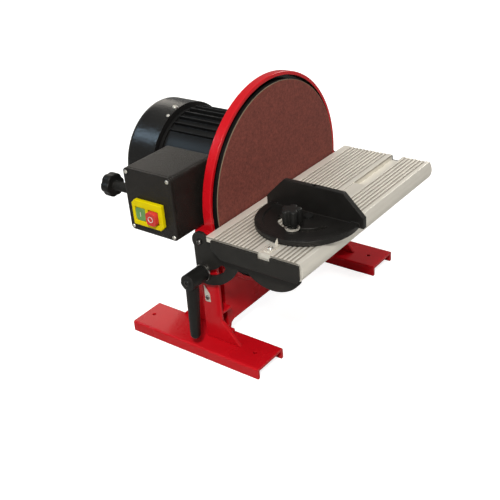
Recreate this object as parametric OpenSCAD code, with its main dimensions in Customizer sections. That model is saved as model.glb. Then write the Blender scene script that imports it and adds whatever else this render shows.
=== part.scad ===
// Benchtop disc sander: a cast guard frame on two channel feet carries a finned motor,
// a large sanding disc, a tilting ribbed table and a mitre gauge.
// X runs along the table, Y from the operator towards the motor, Z is up.
// The origin is the centre of the four bench bolts, at the level of the bench.

/* [Disc] */
// Diameter of the sanding disc
disc_d = 305; // [290:1:312]
// Thickness of the abrasive sheet
abrasive_t = 1.2; // [0.8:0.1:2]
// Thickness of the aluminium disc
disc_t = 8; // [6:0.5:12]
// Diameter of the hub behind the disc
hub_d = 46; // [38:1:60]
// Length of the hub behind the disc
hub_l = 23; // [18:0.5:24]
// Height of the disc axis above the bench
axis_z = 222; // [216:1:232]

/* [Guard] */
// Gap between the disc's edge and the guard rim
rim_gap = 5.5; // [3:0.5:6]
// Wall of the guard rim
rim_wall = 6; // [4:0.5:7]
// Setback of the rim's front edge behind the disc's face
rim_setback = 4; // [2:0.5:8]
// Gap between the disc's back and the back plate
back_gap = 3.8; // [3:0.1:6]
// Thickness of the back plate
back_t = 6; // [5:0.5:9]
// Height of the back plate's lower edge above the bench
panel_z = 30; // [24:1:50]
// Radius where the lower edge runs down into the legs
panel_fillet = 12; // [4:1:12]
// Radius of the hole in the back plate behind the hub
hub_hole_r = 60; // [40:1:62]

/* [Legs] */
// Distance of each leg's outer face from the middle
leg_x = 169; // [167:0.5:172]
// Wall of the cast legs
leg_wall = 6; // [5:0.5:7]
// Width of the open channel in each leg
leg_channel = 22; // [18:1:26]
// Depth of each leg from front to back
leg_depth = 34; // [30:1:40]
// Height of each leg's top above the bench
leg_top_z = 203; // [198:1:206]
// Reach of the front gusset along the foot
gusset_reach = 31; // [15:1:40]
// Rise of the front gusset above the foot
gusset_rise = 36; // [15:1:50]
// Reach of the rear web behind the disc's face, on the foot
web_reach = 107; // [90:1:115]
// Reach of the rear web at its knee
web_knee_reach = 68; // [60:1:80]
// Reach of the rear web at its top
web_top_reach = 58; // [50:1:64]
// Rise of the stiffening rib above the foot
rib_rise = 44; // [30:1:60]

/* [Feet] */
// Length of each channel foot
foot_l = 250; // [230:1:280]
// Width of each foot
foot_w = 64; // [60:1:70]
// Height of each foot
foot_h = 18; // [16:1:24]
// Wall of the foot channel
foot_wall = 5; // [4:0.5:6]
// Distance of each foot's centre line from the middle
foot_x = 168; // [164:1:172]
// Reach of the feet in front of the disc's face
foot_front = 86; // [70:1:110]
// Inset of the front bench holes from the foot's end
hole_front_inset = 28; // [20:1:40]
// Inset of the rear bench holes from the foot's end
hole_rear_inset = 17; // [14:1:40]
// Diameter of the bench bolt holes
bench_hole_d = 6; // [5:0.5:11]

/* [Motor] */
// Height of the cooling fins
fin_h = 6; // [3:0.5:7]
// Radius of the housing under the fins
housing_r = 84; // [82:0.5:85]
// Wall of the housing under the fins
housing_wall = 10; // [9:0.5:14]
// Length of the finned housing
housing_l = 133; // [110:1:140]
// Thickness of a fin
fin_t = 2; // [2:0.5:4]
// Angle between fins
fin_step = 9; // [7:1:14]
// Step from the fins out to the fan cowl
cowl_step = 5; // [4.5:0.5:8]
// Sheet thickness of the fan cowl
cowl_wall = 2; // [1:0.1:2.2]
// Length of the fan cowl
cowl_l = 62; // [58:1:80]
// Corner radius of the fan cowl
cowl_round = 12; // [6:1:18]
// Length of the stator and rotor cores
core_l = 60; // [40:1:70]
// Radial thickness of the stator core
stator_t = 26; // [24:0.5:34]
// Air gap between rotor and stator
air_gap = 0.5; // [0.3:0.1:0.8]
// Diameter of the shaft in the front bearing and the hub
shaft_d = 20; // [17:1:22]
// Diameter of the shaft in the rear bearing
shaft_rear_d = 17; // [14:1:18]

/* [Switch] */
// Width of the switch box along the motor
box_w = 90; // [86:1:96]
// Height of the switch box
box_h = 97; // [92:1:104]
// Depth of the switch box without its cover
box_depth = 87; // [80:1:95]
// Wall of the switch box
box_wall = 3; // [2:0.5:4]
// Distance of the box behind the disc's face
box_back = 28; // [26:1:32]
// Height of the box's underside above the bench
box_z = 204; // [200:1:208]
// Distance of the box's inner end from the side of the fan cowl
box_side = 24; // [22:1:29]
// Thickness of the box cover
cover_t = 5; // [3:0.5:7]
// Corner radius of the box and cover
box_corner = 6; // [3:0.5:9]
// Width of the yellow switch bezel
bezel_w = 58; // [54:1:64]
// Height of the switch bezel
bezel_h = 40; // [36:1:46]
// Thickness of the switch bezel
bezel_t = 6.5; // [4:0.5:8]
// Corner cut of the switch bezel
bezel_cut = 6; // [3:1:8]
// Width of a push button
button_w = 19; // [15:0.5:21]
// Height of a push button
button_h = 20.5; // [16:0.5:24]
// Stand of the stop button in front of the bezel
stop_proud = 6; // [3:0.5:9]

/* [Table] */
// Length of the table
table_l = 372; // [366:1:390]
// Depth of the flat table top
table_w = 158; // [154:1:170]
// Gap between the table and the disc
table_gap = 3; // [2:0.5:5]
// Height of the table top above the bench
table_z = 210; // [207:1:214]
// Thickness of the table
table_t = 9; // [7:0.5:10]
// Radius of the rounded front edge
nose_r = 22; // [18:1:26]
// Height of the rounded front edge
nose_h = 27; // [22:1:30]
// Width of a groove in the table top
groove_w = 3.3; // [2:0.1:4]
// Depth of a groove in the table top
groove_depth = 1.2; // [0.6:0.1:2]
// Spacing of the grooves
groove_pitch = 6.6; // [6:0.1:6.8]
// Width of the mitre slot
slot_w = 20; // [16:0.5:22]
// Depth of the mitre slot
slot_depth = 9.5; // [8:0.5:12]
// Distance of the mitre slot in front of the disc's face
slot_front = 104; // [100:1:108]

/* [Table brackets] */
// Distance of the tilt pivot behind the disc's face
pivot_back = 20; // [17:0.5:22]
// Drop of the tilt pivot below the table top
pivot_drop = 20; // [18:0.5:24]
// Radius of the clamp slot about the pivot
arc_r = 51; // [46:0.5:55]
// Largest tilt of the table, in degrees
tilt_max = 45; // [30:1:45]
// Thickness of the bracket plate
bracket_t = 5.5; // [4:0.5:7]
// Radius of the pivot ear
ear_r = 15; // [12:0.5:17]
// Radius of the lobe that holds the clamp slot
lobe_r = 71; // [66:0.5:75]
// Radius of the half-moon web at the front
moon_r = 58; // [50:1:62]
// Distance of the half-moon's centre in front of the disc's face
moon_front = 104; // [98:1:108]
// Thickness of the lip that covers the table's end
lip_t = 4; // [3:0.5:5]
// Diameter of the pivot screws and clamp studs
stud_d = 8; // [6:0.5:10]

/* [Clamp levers] */
// Radius of the lever's hub
lever_hub_r = 12.5; // [11.5:0.5:13]
// Length of the lever's hub
lever_hub_l = 34; // [34:1:40]
// Length of the lever's arm from the hub's axis
lever_l = 96; // [80:1:110]
// Radius of the arm beside the hub
lever_root_r = 10.5; // [8:0.5:10.5]
// Lean of the arm to the rear at rest, in degrees
lever_lean = 4; // [0:1:20]
// Radius of the arm at its tip
lever_tip_r = 8; // [4:0.5:8]

/* [Mitre gauge] */
// Length of the mitre bar
bar_l = 250; // [230:1:320]
// Distance of the protractor's rim from the table's end
mitre_in = 30; // [24:1:38]
// Radius of the protractor base
base_r = 76; // [70:0.5:80]
// Thickness of the protractor base
base_t = 8; // [6:0.5:12]
// Length of the fence along the table top
fence_l = 164; // [150:1:166]
// Height of the fence
fence_h = 48; // [36:1:60]
// Thickness of the fence
fence_t = 8; // [5:0.5:10]
// Length of the fence's top edge
fence_top_l = 100; // [80:1:120]
// Radius of the protractor's clamp slot
swivel_slot_r = 40; // [36:0.5:44]
// Largest swivel to either side, in degrees
swivel_max = 60; // [45:1:62]
// Radius over the lobes of the gauge knob
mitre_knob_r = 15; // [12:0.5:16]
// Height of the gauge knob
mitre_knob_h = 29; // [26:0.5:40]

/* [Disc brake] */
// Distance of the brake rod from the side of the fan cowl
brake_side = 10; // [9:0.5:12]
// Height of the brake rod above the bench
brake_z = 199; // [196:1:201]
// Diameter of the brake rod
brake_rod_d = 10; // [8:0.5:12]
// Radius of the brake pad
pad_r = 14; // [10:0.5:16]
// Distance of the brake knob's end behind the disc's face
brake_reach = 276; // [262:1:300]
// Radius over the lobes of the brake knob
brake_knob_r = 20; // [16:0.5:22]

/* [Hidden] */
$fn = 96;
// Overrun of every cut past the face that it opens
overrun = 1;
// Radial clearance of turning and sliding fits
slip = 0.05;
// Clearance of seams between bodies that move past each other
seam = 0.3;
// Clearance of the bar in its slot, on each side
bar_slip = 0.2;
// How far a cutting wedge reaches, as a share of the arc that it cuts
wedge_share = 2;

// Foot and bench bolts, which set where the disc's face lies
hole_spacing_y = foot_l - hole_front_inset - hole_rear_inset;
face_y = foot_front - hole_front_inset - hole_spacing_y / 2;
foot_y0 = face_y - foot_front;
foot_y1 = foot_y0 + foot_l;
bench_boss_r = bench_hole_d;

// Stations along the spindle, from the disc's face to the cowl
disc_r = disc_d / 2;
disc_y1 = face_y + abrasive_t + disc_t;
back_y0 = disc_y1 + back_gap;
back_y1 = back_y0 + back_t;
rim_y0 = face_y + rim_setback;
well_r = disc_r + rim_gap;
rim_r = well_r + rim_wall;

// Legs
leg_y0 = face_y;
leg_y1 = leg_y0 + leg_depth;
leg_in_x = leg_x - leg_wall;
web_x = leg_in_x - leg_channel;
web_in_x = web_x - leg_wall;
web_toe_run = 15;
web_toe_rise = 13;
web_knee_rise = 62;
rib_t = 5;
rib_setback = 3;
leg_flange_t = 8;
foot_bolt_x = (leg_in_x + web_x) / 2;
foot_bolt_shares = [0.25, 0.62];
foot_bolt_r = 4;
foot_bolt_head_r = 6.5;
foot_bolt_head_t = 5;

// Motor radii, stepped from the housing
fin_r = housing_r + fin_h;
bore_r = housing_r - housing_wall;
cowl_r = fin_r + cowl_step;
stator_bore_r = bore_r - stator_t;
brake_x = cowl_r + brake_side;
box_x = cowl_r + box_side;

// Motor shields and bearings, measured from the front flange
flange_t = 10;
flange_step = 4;
flange_r = housing_r + flange_step;
flange_lug_r = 13;
flange_bolt_step = 14;
flange_bolt_circle_r = housing_r + flange_bolt_step;
motor_bolt_r = 4;
motor_bolt_head_r = 6.5;
motor_bolt_head_t = 6;
barrel_l = 12;
register_l = 6;
register_wall = 6;
shield_wall = 6;
bearing_wall = 6.5;
front_bearing_r = 23.5;
front_bearing_w = 14;
rear_bearing_r = 20;
rear_bearing_w = 12;
bearing_shoulder = 2;
motor_y0 = back_y1;
housing_y0 = motor_y0 + flange_t + barrel_l;
housing_y1 = housing_y0 + housing_l;
bearing_seat_back = 4;
front_bearing_y0 = housing_y0 + bearing_seat_back;
front_bearing_y1 = front_bearing_y0 + front_bearing_w;
rear_wall = 5.5;
rear_rim_step = 2;
rear_rim_r = housing_r + rear_rim_step;
rear_bearing_y1 = housing_y1;
rear_bearing_y0 = rear_bearing_y1 - rear_bearing_w;
cowl_seat_r = cowl_r - cowl_wall - seam;
cowl_seat_l = 18;
cowl_seat_wall = 8;
cowl_set = 0.5;
cowl_y0 = housing_y1 + rear_wall + cowl_set;
cowl_y1 = cowl_y0 + cowl_l;
core_y0 = (housing_y0 + housing_y1 - core_l) / 2;
core_y1 = core_y0 + core_l;
rotor_r = stator_bore_r - air_gap;
shaft_set = 3;
shaft_y0 = disc_y1 + shaft_set;
shaft_core_d = 28;
shaft_fan_d = 16;
shaft_shoulder_d = 25;
fan_front_gap = 10;
fan_rear_gap = 20;
fan_y0 = cowl_y0 + fan_front_gap;
fan_y1 = cowl_y1 - fan_rear_gap;
fan_tip_gap = 15;
fan_r = cowl_r - cowl_wall - fan_tip_gap;
fan_hub_r = 16;
fan_plate_step = 16;
fan_plate_r = fan_r - fan_plate_step;
fan_plate_t = 3;
fan_blade_t = 2.5;
fan_blades = 8;
set_screw_r = 3;
set_screw_share = 0.7;
tie_r = 2.5;
tie_circle_r = (bore_r + housing_r) / 2;
tie_head_r = 4.5;
tie_head_t = 4;
tie_angle = 20;
coil_wall = 3;
coil_l = 17;
cowl_screw_angles = [-10, -100, -190, -280];
cowl_screw_head_r = 4.6;
cowl_screw_head_t = 3;
cowl_screw_r = 2;
small_screw_angle = -24;
small_screw_share = 0.6;
grille_slots = 16;
grille_slot_w = 6;
grille_in_r = 22;
grille_edge = 21;
grille_out_r = cowl_r - grille_edge;

// Switch box and switch
box_y0 = face_y + box_back;
box_y1 = box_y0 + box_w;
box_z1 = box_z + box_h;
box_out_x = box_x + box_depth;
cover_out_x = box_out_x + cover_t;
bezel_out_x = cover_out_x + bezel_t;
bezel_shares = [0.522, 0.35];
bezel_y = box_y0 + box_w * bezel_shares[0];
bezel_z = box_z + box_h * bezel_shares[1];
bezel_frame = 4;
switch_w = bezel_w - 2 * bezel_frame;
switch_h = bezel_h - 2 * bezel_frame;
switch_depth = 36;
pocket_depth = 12;
button_split = 6;
button_shift = 1.5;
button_drop = 2;
button_z = bezel_z - button_drop;
start_y = bezel_y + button_shift + button_w / 2 + button_split / 2;
stop_y = bezel_y + button_shift - button_w / 2 - button_split / 2;
button_root = 6;
cover_screw_inset = 5.8;
cover_screw_head_r = 3;
cover_screw_head_t = 2;
cover_screw_r = 1.5;
cover_post_r = 4;
cover_post_l = 20;
box_screw_inset = 18;
box_screw_r = 2.5;
box_screw_head_r = 4.5;
box_screw_head_t = 3;
box_screw_l = 11;
capacitor_r = 15;
capacitor_l = 60;
gland_shares = [0.35, 0.25];
gland_x = box_x + box_depth * gland_shares[0];
gland_z = box_z + box_h * gland_shares[1];
gland_r = 11;
gland_hole_r = 7.5;
gland_cord_r = 4;
gland_l = 17;
gland_nut_t = 4;

// Saddle between the motor and the switch box, above the brake's boss
brake_boss_r = 14;
saddle_inset = 8;
saddle_y0 = max(housing_y0, box_y0 + saddle_inset);
saddle_y1 = box_y1 - saddle_inset;
saddle_brake_gap = 3;
saddle_top_drop = 30;
saddle_z0 = brake_z + brake_boss_r + saddle_brake_gap;
saddle_z1 = box_z1 - saddle_top_drop;
fin_first = -36;
fin_last = -104;
fin_count = floor((360 + fin_last - fin_first) / fin_step);
fin_inset = 3;

// Table
table_x = table_l / 2;
table_y1 = face_y - table_gap;
table_y0 = table_y1 - table_w;
table_z0 = table_z - table_t;
slot_y = face_y - slot_front;
slot_floor_t = 5.5;
slot_wall_t = 6;
channel_z = table_z - slot_depth - slot_floor_t;
channel_y0 = slot_y - slot_w / 2 - slot_wall_t;
channel_y1 = slot_y + slot_w / 2 + slot_wall_t;
nose_in = 8;
nose_z0 = table_z - nose_h;
nose_y = table_y0 + sqrt(nose_r * nose_r - nose_h * nose_h / 4);
rear_land = 15;
front_land = 6;
rear_grooves = 11;
front_grooves = 6;

// Brackets at the table's ends
pivot_y = face_y + pivot_back;
pivot_z = table_z - pivot_drop;
stud_z = pivot_z - arc_r;
stud_r = stud_d / 2;
bracket_gap = 1;
bracket_in_x = leg_x + bracket_gap;
bracket_out_x = bracket_in_x + bracket_t;
lip_in_x = table_x + bar_slip;
lip_out_x = lip_in_x + lip_t;
rail_hold = 16;
rail_in_x = min(bracket_in_x, table_x - rail_hold);
rail_out_x = max(bracket_out_x, lip_out_x);
ear_back = 12.5;
strip_drop = 49;
strip_z = table_z - strip_drop;
rail_drop = 30;
rail_z = table_z - rail_drop;
rail_rear_gap = 10;
rail_rear_y = table_y1 - rail_rear_gap;
rail_slope = 15;
rail_toe_y = rail_rear_y - rail_slope;
rail_rear_drop = 18;
rail_rear_z = table_z - rail_rear_drop;
bracket_front_gap = 9;
bracket_front_y = table_y0 + bracket_front_gap;
moon_y = face_y - moon_front;
arc_slot_play = 0.75;
arc_slot_r = stud_r + arc_slot_play;
arc_over = 3;
lip_notch_slip = 0.5;
lip_drop = 3;
lip_top_z = table_z - lip_drop;
lip_corner = 5;
table_screw_r = 2.5;
table_screw_head_r = 4.8;
table_screw_head_t = 4;
table_screw_bite = 5;
table_screw_inset = 5.25;
table_screw_sink = 5;
table_screw_shares = [0.18, 0.85];
pivot_head_r = 4;
pivot_head_t = 4;
stack_gap = 0.4;
nut_r = 7.5;
nut_t = 6;
washer_step = 1;
washer_r = lever_hub_r + washer_step;
washer_t = 2;
washer_x0 = bracket_out_x + stack_gap;
lever_x0 = washer_x0 + washer_t + stack_gap;
lever_x1 = lever_x0 + lever_hub_l;
lever_screw_r = 5;
lever_screw_t = 2;
lever_screw_shank_r = 2.5;
lever_wall = 7;
lever_tip_flat = 0.3;

// Tilt pointer on the left leg
pointer_w = 10;
pointer_t = 0.8;
pointer_tip_gap = 7;
pointer_point = 14;
pointer_body = 14;
pointer_lean = 5;
pointer_back = 3;
pointer_tip_z = pivot_z - lobe_r - pointer_tip_gap;
pointer_z1 = pointer_tip_z - pointer_point;
pointer_z0 = pointer_z1 - pointer_body;
pointer_y = pivot_y + pointer_back;
pointer_tip_y = pointer_y + pointer_lean;
pointer_screw_z = (pointer_z0 + pointer_z1) / 2;
pointer_screw_r = 2;
pointer_screw_head_r = 3.6;
pointer_screw_head_t = 2.4;

// Mitre gauge
bar_z0 = table_z - slot_depth + bar_slip;
bar_drop = 0.6;
bar_z1 = table_z - bar_drop;
bar_y0 = slot_y - slot_w / 2 + bar_slip;
bar_y1 = slot_y + slot_w / 2 - bar_slip;
bar_x0 = -table_x;
base_offset = 2;
swivel_x = table_x - mitre_in - base_r - base_offset;
base_z0 = table_z + seam;
base_z1 = base_z0 + base_t;
base_rim = 12;
base_recess = 2.4;
fence_offset = 6;
fence_z1 = base_z0 + fence_h;
fence_end_share = 0.34;
fence_hole_r = 3;
fence_hole_depth = 15;
swivel_head_r = 7;
swivel_head_t = 3;
mitre_stud_r = 4;
mitre_stud_x = -swivel_x - swivel_slot_r;
mitre_slot_over = 5;
mitre_washer_r = 10.5;
mitre_washer_t = 1.6;
mitre_washer_z = base_z1 - base_recess + seam;
mitre_knob_z0 = mitre_washer_z + mitre_washer_t + seam;
mitre_knob_z1 = mitre_knob_z0 + mitre_knob_h;
mitre_neck_h = 7;
mitre_neck_r = 7;
mitre_stud_grip = 12;
mitre_stud_z1 = mitre_knob_z0 + mitre_neck_h + mitre_stud_grip;
mitre_lobes = 5;
mitre_lobe_share = 0.42;
mitre_lobe_turn = 16;
mitre_pointer_w = 12;
mitre_pointer_t = 1.2;
mitre_pointer_inset = 6;
mitre_pointer_x0 = bar_x0 + mitre_pointer_inset;
mitre_pointer_x1 = -swivel_x - base_offset - base_r - 2 * lip_notch_slip;
mitre_pointer_rise = 11;
mitre_blade_w = 6;
mitre_blade_point_share = 0.4;
mitre_pointer_screw_in = 9;
mitre_pointer_screw_x = mitre_pointer_x0 + mitre_pointer_screw_in;
mitre_pointer_screw_r = 2;
mitre_pointer_head_r = 4;
mitre_pointer_head_t = 2.4;

// Disc brake
brake_rod_r = brake_rod_d / 2;
brake_travel = back_gap;
brake_boss_l = 31;
brake_shoulder = 4;
spring_r = 7.2;
spring_wire_r = 0.9;
spring_turns = 7;
spring_rings = 8;
spring_sides = 6;
spring_y0 = back_y1 + brake_shoulder;
spring_l = 18;
spring_pitch = (spring_l - 2 * spring_wire_r) / spring_turns;
spring_steps = spring_turns * spring_rings;
brake_well_r = spring_r + 2 * spring_wire_r;
collar_r = brake_well_r - seam;
collar_t = 3;
collar_y0 = spring_y0 + spring_l + brake_travel + seam;
pad_t = back_t - seam;
pad_y1 = back_y1;
brake_lug_r = 11;
brake_knob_y1 = face_y + brake_reach;
brake_knob_t = 17;
brake_neck_l = 40;
brake_neck_r = 8;
brake_lobes = 6;
brake_lobe_share = 0.6;
brake_axis_r = norm([brake_x, axis_z - brake_z]);
brake_angle = atan2(-brake_x, brake_z - axis_z);

// Straight bar shapes along each axis
module rod_x(r, x0, x1) {
    translate([x0, 0, 0]) rotate([0, 90, 0]) cylinder(r = r, h = x1 - x0);
}
module rod_y(r, y0, y1) {
    translate([0, y0, 0]) rotate([-90, 0, 0]) cylinder(r = r, h = y1 - y0);
}
module rod_z(r, z0, z1) {
    translate([0, 0, z0]) cylinder(r = r, h = z1 - z0);
}
// Box between two corners
module block(low, high) {
    translate(low) cube(high - low);
}
// Flat shape in Y and Z, made solid from x0 to x1
module slab_x(x0, x1) {
    translate([x0, 0, 0]) rotate([90, 0, 90]) linear_extrude(x1 - x0) children();
}
// Flat shape in X and Z, made solid from y0 to y1
module slab_y(y0, y1) {
    translate([0, y1, 0]) rotate([90, 0, 0]) linear_extrude(y1 - y0) children();
}
// Flat shape in X and Y, made solid from z0 to z1
module slab_z(z0, z1) {
    translate([0, 0, z0]) linear_extrude(z1 - z0) children();
}
// Flat rectangle between two corners
module plate_2d(low, high) {
    translate(low) square(high - low);
}
// Flat rectangle with round corners
module round_2d(low, high, r) {
    plate_2d([low[0] + r, low[1]], [high[0] - r, high[1]]);
    plate_2d([low[0], low[1] + r], [high[0], high[1] - r]);
    for (x = [low[0] + r, high[0] - r], y = [low[1] + r, high[1] - r])
        translate([x, y]) circle(r = r);
}
// Flat outline of a knob with round lobes
module lobed_2d(r, lobes, bump_share) {
    bump = r * bump_share;
    circle(r = r - bump);
    for (i = [0 : lobes - 1])
        rotate(i * 360 / lobes) translate([r - bump, 0]) circle(r = bump);
}
// Flat band along an arc about the origin, with round ends
module arc_2d(r, half_w, from, to) {
    reach = (r + half_w) * wedge_share;
    middle = (from + to) / 2;
    intersection() {
        difference() {
            circle(r = r + half_w);
            circle(r = r - half_w);
        }
        polygon([[0, 0], reach * [cos(from), sin(from)], reach * [cos(middle), sin(middle)],
                 reach * [cos(to), sin(to)]]);
    }
    for (a = [from, to])
        translate(r * [cos(a), sin(a)]) circle(r = half_w - slip);
}
// Round part turned about the spindle, its outline in radius and distance along Y
module turned() {
    translate([0, 0, axis_z]) rotate([-90, 0, 0]) rotate_extrude() children();
}
// Places a piece on the spindle axis
module on_axis() {
    translate([0, 0, axis_z]) children();
}
module both_sides() {
    children();
    mirror([1, 0, 0]) children();
}

module leg() {
    slab_x(-leg_x, -leg_in_x)
        polygon([[leg_y0 - gusset_reach, foot_h], [leg_y0, foot_h + gusset_rise], [leg_y0, leg_top_z],
                 [leg_y1, leg_top_z], [leg_y1, foot_h]]);
    slab_x(-web_x, -web_in_x)
        polygon([[back_y0, foot_h], [face_y + web_reach, foot_h],
                 [face_y + web_reach - web_toe_run, foot_h + web_toe_rise],
                 [face_y + web_knee_reach, foot_h + web_knee_rise],
                 [face_y + web_top_reach, leg_top_z], [back_y0, leg_top_z]]);
    block([-leg_x, leg_y1 - leg_wall, foot_h], [-web_in_x, leg_y1, leg_top_z]);
    block([-leg_x, leg_y0, leg_top_z - leg_wall], [-web_in_x, leg_y1, leg_top_z]);
    block([-leg_x, leg_y0, foot_h], [-web_x, leg_y1, foot_h + leg_flange_t]);
    block([-leg_x, leg_y0 + rib_setback, foot_h + rib_rise], [-web_x, leg_y1, foot_h + rib_rise + rib_t]);
    slab_y(back_y0, back_y1) difference() {
        plate_2d([-web_x, foot_h], [-web_in_x + panel_fillet, panel_z]);
        translate([-web_in_x + panel_fillet, panel_z - panel_fillet]) circle(r = panel_fillet);
    }
}

module main_frame() color("firebrick") difference() {
    union() {
        both_sides() leg();
        block([-web_x, back_y0, panel_z], [web_x, back_y1, axis_z]);
        on_axis() rod_y(rim_r, rim_y0, back_y1);
        translate([-brake_x, 0, brake_z]) rod_y(brake_boss_r, back_y0, back_y1 + brake_boss_l);
    }
    on_axis() rod_y(well_r, leg_y0 - overrun, back_y0);
    on_axis() rod_y(hub_hole_r, leg_y0, back_y1 + overrun);
    on_axis() for (a = [45 : 90 : 315])
        rotate([0, a, 0]) translate([0, 0, flange_bolt_circle_r])
            rod_y(motor_bolt_r + slip, leg_y0, back_y1 + overrun);
    translate([-brake_x, 0, brake_z]) {
        rod_y(pad_r + seam, leg_y0, back_y1);
        rod_y(brake_rod_r + slip, leg_y0, spring_y0 + overrun);
        rod_y(brake_well_r, spring_y0, back_y1 + brake_boss_l + overrun);
    }
    both_sides() {
        translate([0, pivot_y, pivot_z]) rod_x(stud_r + slip, -leg_x - overrun, -leg_in_x + overrun);
        translate([0, pivot_y, stud_z]) rod_x(stud_r + slip, -leg_x - overrun, -leg_in_x + overrun);
        for (share = foot_bolt_shares)
            translate([-foot_bolt_x, leg_y0 + leg_depth * share, 0])
                rod_z(foot_bolt_r + slip, foot_h - overrun, foot_h + leg_flange_t + overrun);
    }
    translate([0, pointer_y, pointer_screw_z])
        rod_x(pointer_screw_r + slip, -leg_x - overrun, -leg_in_x + overrun);
}

module foot() color("firebrick") difference() {
    union() {
        difference() {
            block([-foot_w / 2, foot_y0, 0], [foot_w / 2, foot_y1, foot_h]);
            block([-foot_w / 2 + foot_wall, foot_y0 - overrun, -overrun],
                  [foot_w / 2 - foot_wall, foot_y1 + overrun, foot_h - foot_wall]);
        }
        for (y = [foot_y0 + hole_front_inset, foot_y1 - hole_rear_inset])
            translate([0, y, 0]) rod_z(bench_boss_r, 0, foot_h);
    }
    for (y = [foot_y0 + hole_front_inset, foot_y1 - hole_rear_inset])
        translate([0, y, 0]) rod_z(bench_hole_d / 2, -overrun, foot_h + overrun);
    for (share = foot_bolt_shares)
        translate([foot_bolt_x - foot_x, leg_y0 + leg_depth * share, 0])
            rod_z(foot_bolt_r + slip, 0, foot_h + overrun);
}

module left_foot() mirror([1, 0, 0]) right_foot();
module right_foot() translate([foot_x, 0, 0]) foot();

module foot_bolts() color("silver") both_sides() for (share = foot_bolt_shares)
    translate([-foot_bolt_x, leg_y0 + leg_depth * share, 0]) {
        translate([0, 0, foot_h - foot_wall - foot_bolt_head_t])
            cylinder(r = foot_bolt_head_r, h = foot_bolt_head_t, $fn = 6);
        rod_z(foot_bolt_r, foot_h - foot_wall - foot_bolt_head_t, foot_h + leg_flange_t);
    }

module motor_front_shield() color("dimgray") difference() {
    union() {
        turned() polygon([
            [hub_hole_r, motor_y0], [flange_r, motor_y0], [flange_r, motor_y0 + flange_t],
            [housing_r, motor_y0 + flange_t], [housing_r, housing_y0], [bore_r - slip, housing_y0],
            [bore_r - slip, housing_y0 + register_l], [bore_r - register_wall, housing_y0 + register_l],
            [bore_r - register_wall, housing_y0], [front_bearing_r + bearing_wall, housing_y0],
            [front_bearing_r + bearing_wall, front_bearing_y1], [front_bearing_r + slip, front_bearing_y1],
            [front_bearing_r + slip, front_bearing_y0], [shaft_d / 2 + bearing_shoulder, front_bearing_y0],
            [shaft_d / 2 + bearing_shoulder, housing_y0 - shield_wall],
            [hub_hole_r, housing_y0 - shield_wall]]);
        on_axis() for (a = [45 : 90 : 315]) rotate([0, a, 0]) {
            translate([0, 0, flange_bolt_circle_r]) rod_y(flange_lug_r, motor_y0, motor_y0 + flange_t);
            block([-flange_lug_r, motor_y0, hub_hole_r + shield_wall],
                  [flange_lug_r, motor_y0 + flange_t, flange_bolt_circle_r]);
        }
    }
    on_axis() for (a = [45 : 90 : 315]) rotate([0, a, 0]) translate([0, 0, flange_bolt_circle_r])
        rod_y(motor_bolt_r + slip, motor_y0 - overrun, motor_y0 + flange_t + overrun);
    tie_holes(motor_y0 + flange_t, housing_y0 + overrun);
}

// Holes for the long bolts that hold the two shields to the housing
module tie_holes(y0, y1) {
    on_axis() for (a = [tie_angle : 90 : 270 + tie_angle])
        rotate([0, a, 0]) translate([0, 0, tie_circle_r]) rod_y(tie_r + slip, y0, y1);
}

module motor_housing() color("dimgray") difference() {
    union() {
        on_axis() rod_y(housing_r, housing_y0, housing_y1);
        on_axis() for (i = [0 : fin_count])
            rotate([0, fin_first + i * fin_step, 0])
                block([-fin_t / 2, housing_y0 + fin_inset, bore_r + fin_inset],
                      [fin_t / 2, housing_y1 - fin_inset, fin_r]);
        block([-box_x, saddle_y0, saddle_z0], [-bore_r / 2, saddle_y1, saddle_z1]);
    }
    on_axis() rod_y(bore_r, housing_y0 - overrun, housing_y1 + overrun);
    tie_holes(housing_y0 - overrun, housing_y1 + overrun);
    box_screw_places() rod_x(box_screw_r + slip, -box_x - overrun, -box_x + box_screw_l);
}

module motor_rear_shield() color("dimgray") difference() {
    union() {
        turned() polygon([
            [bore_r - register_wall, housing_y1 - register_l], [bore_r - slip, housing_y1 - register_l],
            [bore_r - slip, housing_y1], [rear_rim_r, housing_y1], [rear_rim_r, housing_y1 + rear_wall],
            [cowl_seat_r, housing_y1 + rear_wall], [cowl_seat_r, housing_y1 + rear_wall + cowl_seat_l],
            [cowl_seat_r - cowl_seat_wall, housing_y1 + rear_wall + cowl_seat_l],
            [cowl_seat_r - cowl_seat_wall, housing_y1 + rear_wall],
            [shaft_fan_d / 2 + bearing_shoulder, housing_y1 + rear_wall],
            [shaft_fan_d / 2 + bearing_shoulder, housing_y1], [rear_bearing_r + slip, housing_y1],
            [rear_bearing_r + slip, rear_bearing_y0], [rear_bearing_r + bearing_wall, rear_bearing_y0],
            [rear_bearing_r + bearing_wall, housing_y1], [bore_r - register_wall, housing_y1]]);
        on_axis() rotate([0, brake_angle, 0]) {
            translate([0, 0, brake_axis_r]) rod_y(brake_lug_r, housing_y1, housing_y1 + rear_wall);
            block([-brake_lug_r, housing_y1, bore_r], [brake_lug_r, housing_y1 + rear_wall, brake_axis_r]);
        }
    }
    tie_holes(housing_y1 - overrun, housing_y1 + rear_wall + overrun);
    translate([-brake_x, 0, brake_z])
        rod_y(brake_rod_r + slip, housing_y1 - overrun, housing_y1 + rear_wall + overrun);
    on_axis() for (a = cowl_screw_angles) rotate([0, a, 0])
        translate([0, cowl_y0 + cowl_seat_wall, cowl_seat_r - cowl_seat_wall - overrun])
            cylinder(r = cowl_screw_r + slip, h = cowl_seat_wall + 2 * overrun);
    on_axis() rotate([0, small_screw_angle, 0])
        translate([0, cowl_y0 + cowl_seat_wall * small_screw_share, cowl_seat_r - cowl_seat_wall - overrun])
            cylinder(r = cowl_screw_r * small_screw_share + slip, h = cowl_seat_wall + 2 * overrun);
}

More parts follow.
